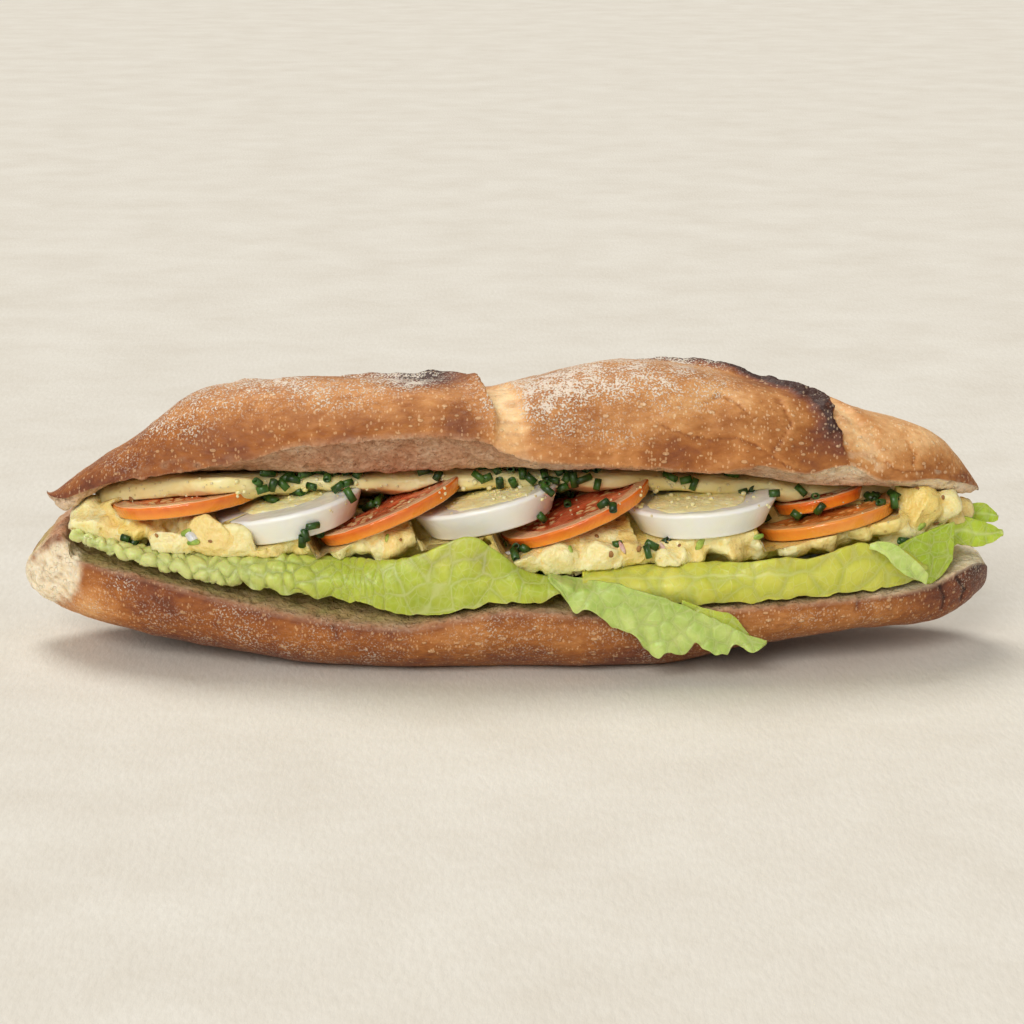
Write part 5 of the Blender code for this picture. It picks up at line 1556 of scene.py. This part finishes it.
salad, _, _ = tube_of_rings("chicken_egg_salad", 160, 90, heap_points)
chunks = [chunk(centre, size, draw) for centre, size in chunk_places]
kinds = draw.choice([0.0, 0.5, 1.0], len(chunks), p=[0.5, 0.28, 0.22])
marks = KDTree(sum(len(obj.data.vertices) for obj in chunks))
number = 0
for obj, kind in zip(chunks, kinds):
    for point in points_of(obj):
        marks.insert(point, number)
        number += 1
marks.balance()
chunk_kind = np.repeat(kinds, [len(obj.data.vertices) for obj in chunks])
chunk_number = np.repeat(np.arange(len(chunks)), [len(obj.data.vertices) for obj in chunks])
bpy.ops.object.select_all(action="DESELECT")
for obj in chunks + [salad]:
    obj.select_set(True)
bpy.context.view_layer.objects.active = salad
bpy.ops.object.join()
apply_modifier(salad, "one skin", "REMESH", mode="VOXEL", voxel_size=SALAD_GRAIN)
apply_modifier(salad, "coating", "SMOOTH", factor=0.5, iterations=1)
print("salad:", len(chunk_places), "chunks,", len(salad.data.vertices), "points after the remesh")

# %% [markdown]
# ## Salad: kept in its place
# Points of the heap that would cut into the lettuce, the bread or a slice are moved to the nearest
# free side. Creases between the chunks hold more sauce, so they are found and stored for the colour.
# %% Salad kept in place


def leaf_floor(x, y):
    """Height of the lettuce under a place, and the depth and height of its upper bend."""
    floor_height = np.full(len(x), -1.0)
    bend_y, bend_z = np.zeros(len(x)), np.zeros(len(x))
    for stations, mine in ((LEFT_LEAF, x < LEAF_SPLIT), (RIGHT_LEAF, x >= LEAF_SPLIT)):
        xs = x[mine]
        rows = [through_leaf_places(stations, xs, np.full(len(xs), t)) for t in np.linspace(2 / 7, 1, 26)]
        height = np.full(len(xs), -1.0)
        for near_row, far_row in zip(rows, rows[1:]):
            share = (y[mine] - near_row[:, 0]) / np.maximum(far_row[:, 0] - near_row[:, 0], 1e-6)
            between = (share >= 0) & (share <= 1)
            height = np.where(between, np.maximum(height, mix(near_row[:, 1], far_row[:, 1], share)), height)
        floor_height[mine], bend_y[mine], bend_z[mine] = height, rows[0][:, 0], rows[0][:, 1]
    return floor_height, bend_y, bend_z


place = points_of(salad)
outward = normals_of(salad)
found = [marks.find(point) for point in place]
nearest = np.array([hit[1] for hit in found])
kind = chunk_kind[nearest]
tag = dice(chunk_number[nearest][:, None].astype(np.int64), 3)
fibres = layered(place * [1.0, 0.5, 1.0], 1.8 * MM, 2, 90)
craggy = 0.24 * fibres + 0.42 * layered(place, 3.4 * MM, 2, 91) + 0.7 * uneven(place, 7 * MM, 92)
place = place + outward * (craggy * MM)[:, None]
place = pressed_out(place, SALAD_GAP, False)
bed, bend_y, bend_z = leaf_floor(place[:, 0], place[:, 1])
before_bend = place[:, 1] < bend_y + 0.6 * MM
low = before_bend & (place[:, 2] < bend_z + 0.7 * MM)
overhang = bend_y - 1.4 * MM - place[:, 1]
place[:, 1] += np.where(overhang > 0, 0.68 * overhang + 0.5 * MM * layered(place, 2.6 * MM, 2, 93), 0)
place[:, 1] = np.where(low, bend_y + 0.8 * MM, np.maximum(place[:, 1], bend_y - 3.6 * MM))
place[:, 2] = np.where(low, np.maximum(place[:, 2], bend_z - 4 * MM), place[:, 2])
bed = np.maximum(bed, bottom_cut_height(place[:, 0], place[:, 1]) + 0.8 * MM)
place[:, 2] = np.where(low, place[:, 2], np.maximum(place[:, 2], bed + 0.7 * MM))
place[:, 2] = np.minimum(place[:, 2], top_cut_height(place[:, 0], place[:, 1]) - 0.6 * MM)
move_points(salad, place)
pairs = np.array([edge.vertices[:] for edge in salad.data.edges])
around, count = np.zeros_like(place), np.zeros(len(place))
for a, b in ((0, 1), (1, 0)):
    np.add.at(around, pairs[:, a], place[pairs[:, b]])
    np.add.at(count, pairs[:, a], 1)
hollow = ((around / np.maximum(count, 1)[:, None] - place) * normals_of(salad)).sum(axis=1)
store(salad, crease=clamp(hollow / (0.10 * MM)), chunk_kind=kind, chunk_tone=tag)

# %% [markdown]
# ## Salad finish
# A stored number tells three kinds of chunk apart: yellow chicken, paler egg white and deeper yolk.
# A glossy coat of sauce lies over all of them, thicker in the creases, with specks of pepper.
# %% Salad finish
glow = (1.0, 0.75, 0.35)
salad_finish, tree, shader = new_material("coated chicken and egg", 0.26, 0.4, glow, 0.003, 0.55)
spot = coordinates(tree)
chicken = two_tones(tree, spot, 0.002, 2.2, (0.86, 0.60, 0.18), (0.96, 0.80, 0.36))
egg_bit = two_tones(tree, spot, 0.003, 1.6, (0.92, 0.80, 0.36), (0.98, 0.92, 0.56))
yolk_bit = two_tones(tree, spot, 0.0014, 2.6, (0.92, 0.62, 0.13), (0.99, 0.80, 0.28))
kind_value = attribute(tree, "chunk_kind")
salad_colour = mix_colours(tree, math_node(tree, "GREATER_THAN", kind_value, 0.25), chicken, egg_bit)
salad_colour = mix_colours(tree, math_node(tree, "GREATER_THAN", kind_value, 0.75), salad_colour, yolk_bit)
chunk_tone = times(tree, attribute(tree, "chunk_tone"), 0.35)
salad_colour = mix_colours(tree, chunk_tone, salad_colour, (0.94, 0.84, 0.44))
coat = plus(tree, attribute(tree, "crease"), times(tree, tone(tree, spot, 0.004, 3.0), 0.5))
coat = times(tree, coat, 0.6, True)
salad_colour = mix_colours(tree, coat, salad_colour, (0.90, 0.66, 0.18))
pepper = times(tree, specks(tree, spot, 0.0026, 0.16, 0.3), 0.5)
paint(tree, shader, mix_colours(tree, pepper, salad_colour, (0.40, 0.24, 0.06)))
roughen(tree, shader, tone(tree, spot, 0.0009, 2.4), 0.0003, 0.7)
finish_piece(salad, salad_finish, "salad", "salad")

# %% [markdown]
# ## What lies on top
# Chopped chives, crumbs and bits of onion lie on what is under them. A straight line is followed
# from the camera's side until it meets the sandwich, and the small piece is laid there, turned at
# random. Each kind is modelled once and copied, and all its copies are joined into one piece.
# %% Laying small pieces
AWAY = Vector((0, math.cos(VIEW_SLOPE), -math.sin(VIEW_SLOPE)))
graph = bpy.context.evaluated_depsgraph_get()
shown = [obj for obj in bpy.data.objects if obj.type == "MESH" and obj.visible_get()]
shown = [obj for obj in shown if obj.name != "table_top" and "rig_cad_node" not in obj]
trees = {obj.name: BVHTree.FromObject(obj, graph) for obj in shown}
CARRIERS = ("white_of", "yolk_of", "cut_tomato", "mayonnaise", "chicken")


def landing(x, height, allowed=CARRIERS):
    """Where a line from the camera's side through a place on the middle plane first meets a piece."""
    start = Vector((x, 0, height)) * MM - AWAY * 90 * MM
    hits = [(tree.ray_cast(start, AWAY), name) for name, tree in trees.items()]
    hits = [(hit, name) for hit, name in hits if hit[0] is not None]
    if not hits:
        return None
    (spot_hit, normal, _, _), name = min(hits, key=lambda found_hit: found_hit[0][3])
    return (spot_hit, normal) if name.startswith(allowed) else None


def copies_joined(name, model, stands, material, slot):
    """Copies a small piece to every stand, joins the copies and gives them their finish."""
    made = []
    for stand in stands:
        copy = model.copy()
        copy.data = model.data.copy()
        copy.data.transform(stand)
        bpy.context.scene.collection.objects.link(copy)
        made.append(copy)
    bpy.data.objects.remove(model)
    bpy.ops.object.select_all(action="DESELECT")
    for copy in made:
        copy.select_set(True)
    bpy.context.view_layer.objects.active = made[0]
    bpy.ops.object.join()
    made[0].name = name
    made[0].data.name = name
    finish_piece(made[0], material, slot)


# %% [markdown]
# ## Chives
# A chive is a thin hollow tube, and a chopped one shows its open end. It is a cylinder without caps,
# pinched a little into an oval, and given a wall by Solidify.
# %% Chives
CHIVE_CLUSTERS = [
    ((-70, 50), (4, 3), 9), ((-56, 50.6), (12, 3), 24), ((-24, 52), (3, 2), 6), ((-3, 51.6), (9, 2.6), 20),
    ((-61, 45.4), (2, 0.7), 2), ((17, 49), (9, 4), 16),
    ((-44, 42), (6, 3), 5), ((-56.5, 33.8), (4, 3), 4), ((-67, 43), (5, 1), 2), ((23, 43), (8, 2.5), 4),
    ((7, 38.5), (1, 1), 1), ((1.5, 29), (3, 3.5), 4), ((35, 30.5), (9, 2), 4), ((50, 49), (5, 2), 4),
    ((66, 48.6), (3, 2.5), 3), ((81, 42), (8, 5.5), 8), ((110, 44), (6, 3), 7), ((-111, 32), (1.5, 2.5), 3),
    ((111.5, 33), (2, 1), 1),
]
CHIVE_GAP = 2.0 * MM
random.seed(11)
tube = {"vertices": 12, "radius": 1.15 * MM, "depth": 1 * MM, "end_fill_type": "NOTHING"}
chive = add_primitive("cylinder", "chive", **tube)
move_points(chive, points_of(chive) * [1.0, 0.82, 1.0])
apply_modifier(chive, "wall", "SOLIDIFY", thickness=0.38 * MM, offset=-1)
chive_stands, landed = [], []
for (cx, cz), (sx, sz), wanted in CHIVE_CLUSTERS:
    for _ in range(wanted * 2):
        hit = landing(cx + random.uniform(-sx, sx), cz + random.uniform(-sz, sz))
        length, spin, tilt = random.uniform(2.4, 4.6), random.uniform(0, math.tau), random.uniform(0.0, 0.5)
        if wanted <= 0 or hit is None or any((hit[0] - old).length < CHIVE_GAP for old in landed):
            continue
        spot_hit, normal = hit
        side = normal.orthogonal().normalized()
        axis = (Matrix.Rotation(spin, 3, normal) @ side + normal * tilt).normalized()
        turn = Vector((0, 0, 1)).rotation_difference(axis).to_matrix().to_4x4()
        lift_up = normal * (0.9 * MM + tilt * 0.4 * length * MM * 0.5)
        stand = Matrix.Translation(spot_hit + lift_up) @ turn @ Matrix.Diagonal((1, 1, length, 1))
        chive_stands.append(stand)
        landed.append(spot_hit)
        wanted -= 1
chive_finish, tree, shader = new_material("chopped chives", 0.35, 0.15, (0.3, 1.0, 0.2), 0.002, 0.5)
spot = coordinates(tree)
green = two_tones(tree, spot, 0.004, 2.6, (0.007, 0.026, 0.005), (0.055, 0.15, 0.018))
paint(tree, shader, green)
copies_joined("chopped_chives", chive, chive_stands, chive_finish, "lettuce")
print(len(chive_stands), "chives")

# %% [markdown]
# ## Crumbs and bits
# Tiny crumbs of yolk and garlic lie on the slices, and bits of green onion, pink onion and browned
# chicken show in the salad. Each is a small ball pulled out of shape, copied at different sizes.
# Diced egg white is a small rounded cube.
# %% Crumbs and bits


def small_bit(name, squash, seed):
    obj = add_primitive("ico_sphere", name, subdivisions=2, radius=1)
    ball = points_of(obj)
    move_points(obj, ball * (1 + 0.3 * uneven(ball, 0.7, seed))[:, None] * squash)
    return obj


def cut_cube(name):
    """A diced piece of egg white: a cube with its edges rounded off."""
    obj = add_primitive("cube", name, size=1.8)
    points = points_of(obj)
    move_points(obj, points * [1.1, 0.8, 0.7] + 0.16 * points[:, [1, 2, 0]])
    apply_modifier(obj, "soft edges", "BEVEL", width=0.22, segments=2)
    return obj


def scatter(name, model, regions, smallest, largest, material, slot, sink=0.2, allowed=CARRIERS):
    """Lays copies in each region: (centre, half sizes, number), with their sizes in millimetres."""
    stands = []
    for (cx, cz), (sx, sz), wanted in regions:
        for _ in range(wanted):
            hit = landing(cx + random.uniform(-sx, sx), cz + random.uniform(-sz, sz), allowed)
            size, spin = random.uniform(smallest, largest) * MM, random.uniform(0, math.tau)
            if hit is None:
                continue
            spot_hit, normal = hit
            upright = Vector((0, 0, 1)).rotation_difference(normal).to_matrix().to_4x4()
            turn = upright @ Matrix.Rotation(spin, 4, "Z") @ Matrix.Scale(size, 4)
            stands.append(Matrix.Translation(spot_hit + normal * size * (0.5 - sink)) @ turn)
    print(name, len(stands))
    copies_joined(name, model, stands, material, slot)


def bit_material(name, dark, light, roughness):
    made, tree, shader = new_material(name, roughness, 0.3, (1.0, 0.7, 0.4), 0.002)
    paint(tree, shader, mix_colours(tree, tone(tree, coordinates(tree), 0.0016, 2.4), dark, light))
    return made


SLICE_AREAS = [
    ((-95, 47), (18, 3), 26), ((-63, 47), (20, 3), 22), ((-34, 44), (18, 6), 26), ((-6, 47), (18, 4), 26),
    ((22, 44), (18, 6), 26), ((56, 45), (20, 4), 30), ((92, 42), (17, 5), 18),
]
EGG_AREAS = SLICE_AREAS[1:6:2]
SALAD_AREAS = [
    ((-118, 38), (8, 7), 2), ((-92, 33), (10, 4), 2), ((-45, 33), (18, 3), 3), ((18, 33), (22, 6), 4),
    ((55, 32), (20, 4), 3), ((112, 40), (14, 8), 3),
]
IN_SALAD = ("chicken", "mayonnaise")
garlic_finish = bit_material("garlic crumbs", (0.70, 0.55, 0.25), (0.90, 0.80, 0.50), 0.6)
green_onion_finish = bit_material("green onion", (0.16, 0.30, 0.03), (0.50, 0.62, 0.12), 0.35)
pink_onion_finish = bit_material("pink onion", (0.55, 0.22, 0.20), (0.82, 0.62, 0.52), 0.3)
browned_finish = bit_material("browned chicken", (0.20, 0.08, 0.02), (0.45, 0.22, 0.06), 0.4)
model = small_bit("garlic_crumb", [1, 0.8, 0.6], 1)
scatter("garlic_crumbs", model, SLICE_AREAS, 0.22, 0.5, garlic_finish, "egg")
model = small_bit("yolk_crumb", [1, 0.85, 0.7], 2)
scatter("yolk_crumbs", model, EGG_AREAS, 0.35, 0.9, yolk_finish, "egg")
model = small_bit("green_onion_bit", [1.6, 0.7, 0.35], 3)
scatter("green_onion_bits", model, SALAD_AREAS, 0.8, 1.5, green_onion_finish, "lettuce", 0.3, IN_SALAD)
model = small_bit("pink_onion_bit", [1.8, 0.6, 0.3], 4)
scatter("pink_onion_bits", model, SALAD_AREAS[2:5], 0.6, 1.2, pink_onion_finish, "salad", 0.3, IN_SALAD)
model = small_bit("browned_bit", [1.2, 0.8, 0.4], 5)
scatter("browned_bits", model, SALAD_AREAS, 0.4, 0.9, browned_finish, "salad", 0.3, IN_SALAD)
model = cut_cube("egg_white_bit")
areas = SALAD_AREAS[1:2] + SALAD_AREAS[3:5]
scatter("egg_white_bits", model, areas, 0.9, 1.7, white_finish, "egg", 0.5, ("chicken",))

# %% [markdown]
# ## Sizes
# The model's box and the box of the dressed sandwich are both printed, in millimetres.
# %% Sizes and finish
seen_box = [list(corner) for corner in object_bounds()]
for label, corners in (("model", cad_box), ("dressed", seen_box)):
    print(label, [[round(c / MM, 1) for c in corner] for corner in corners])
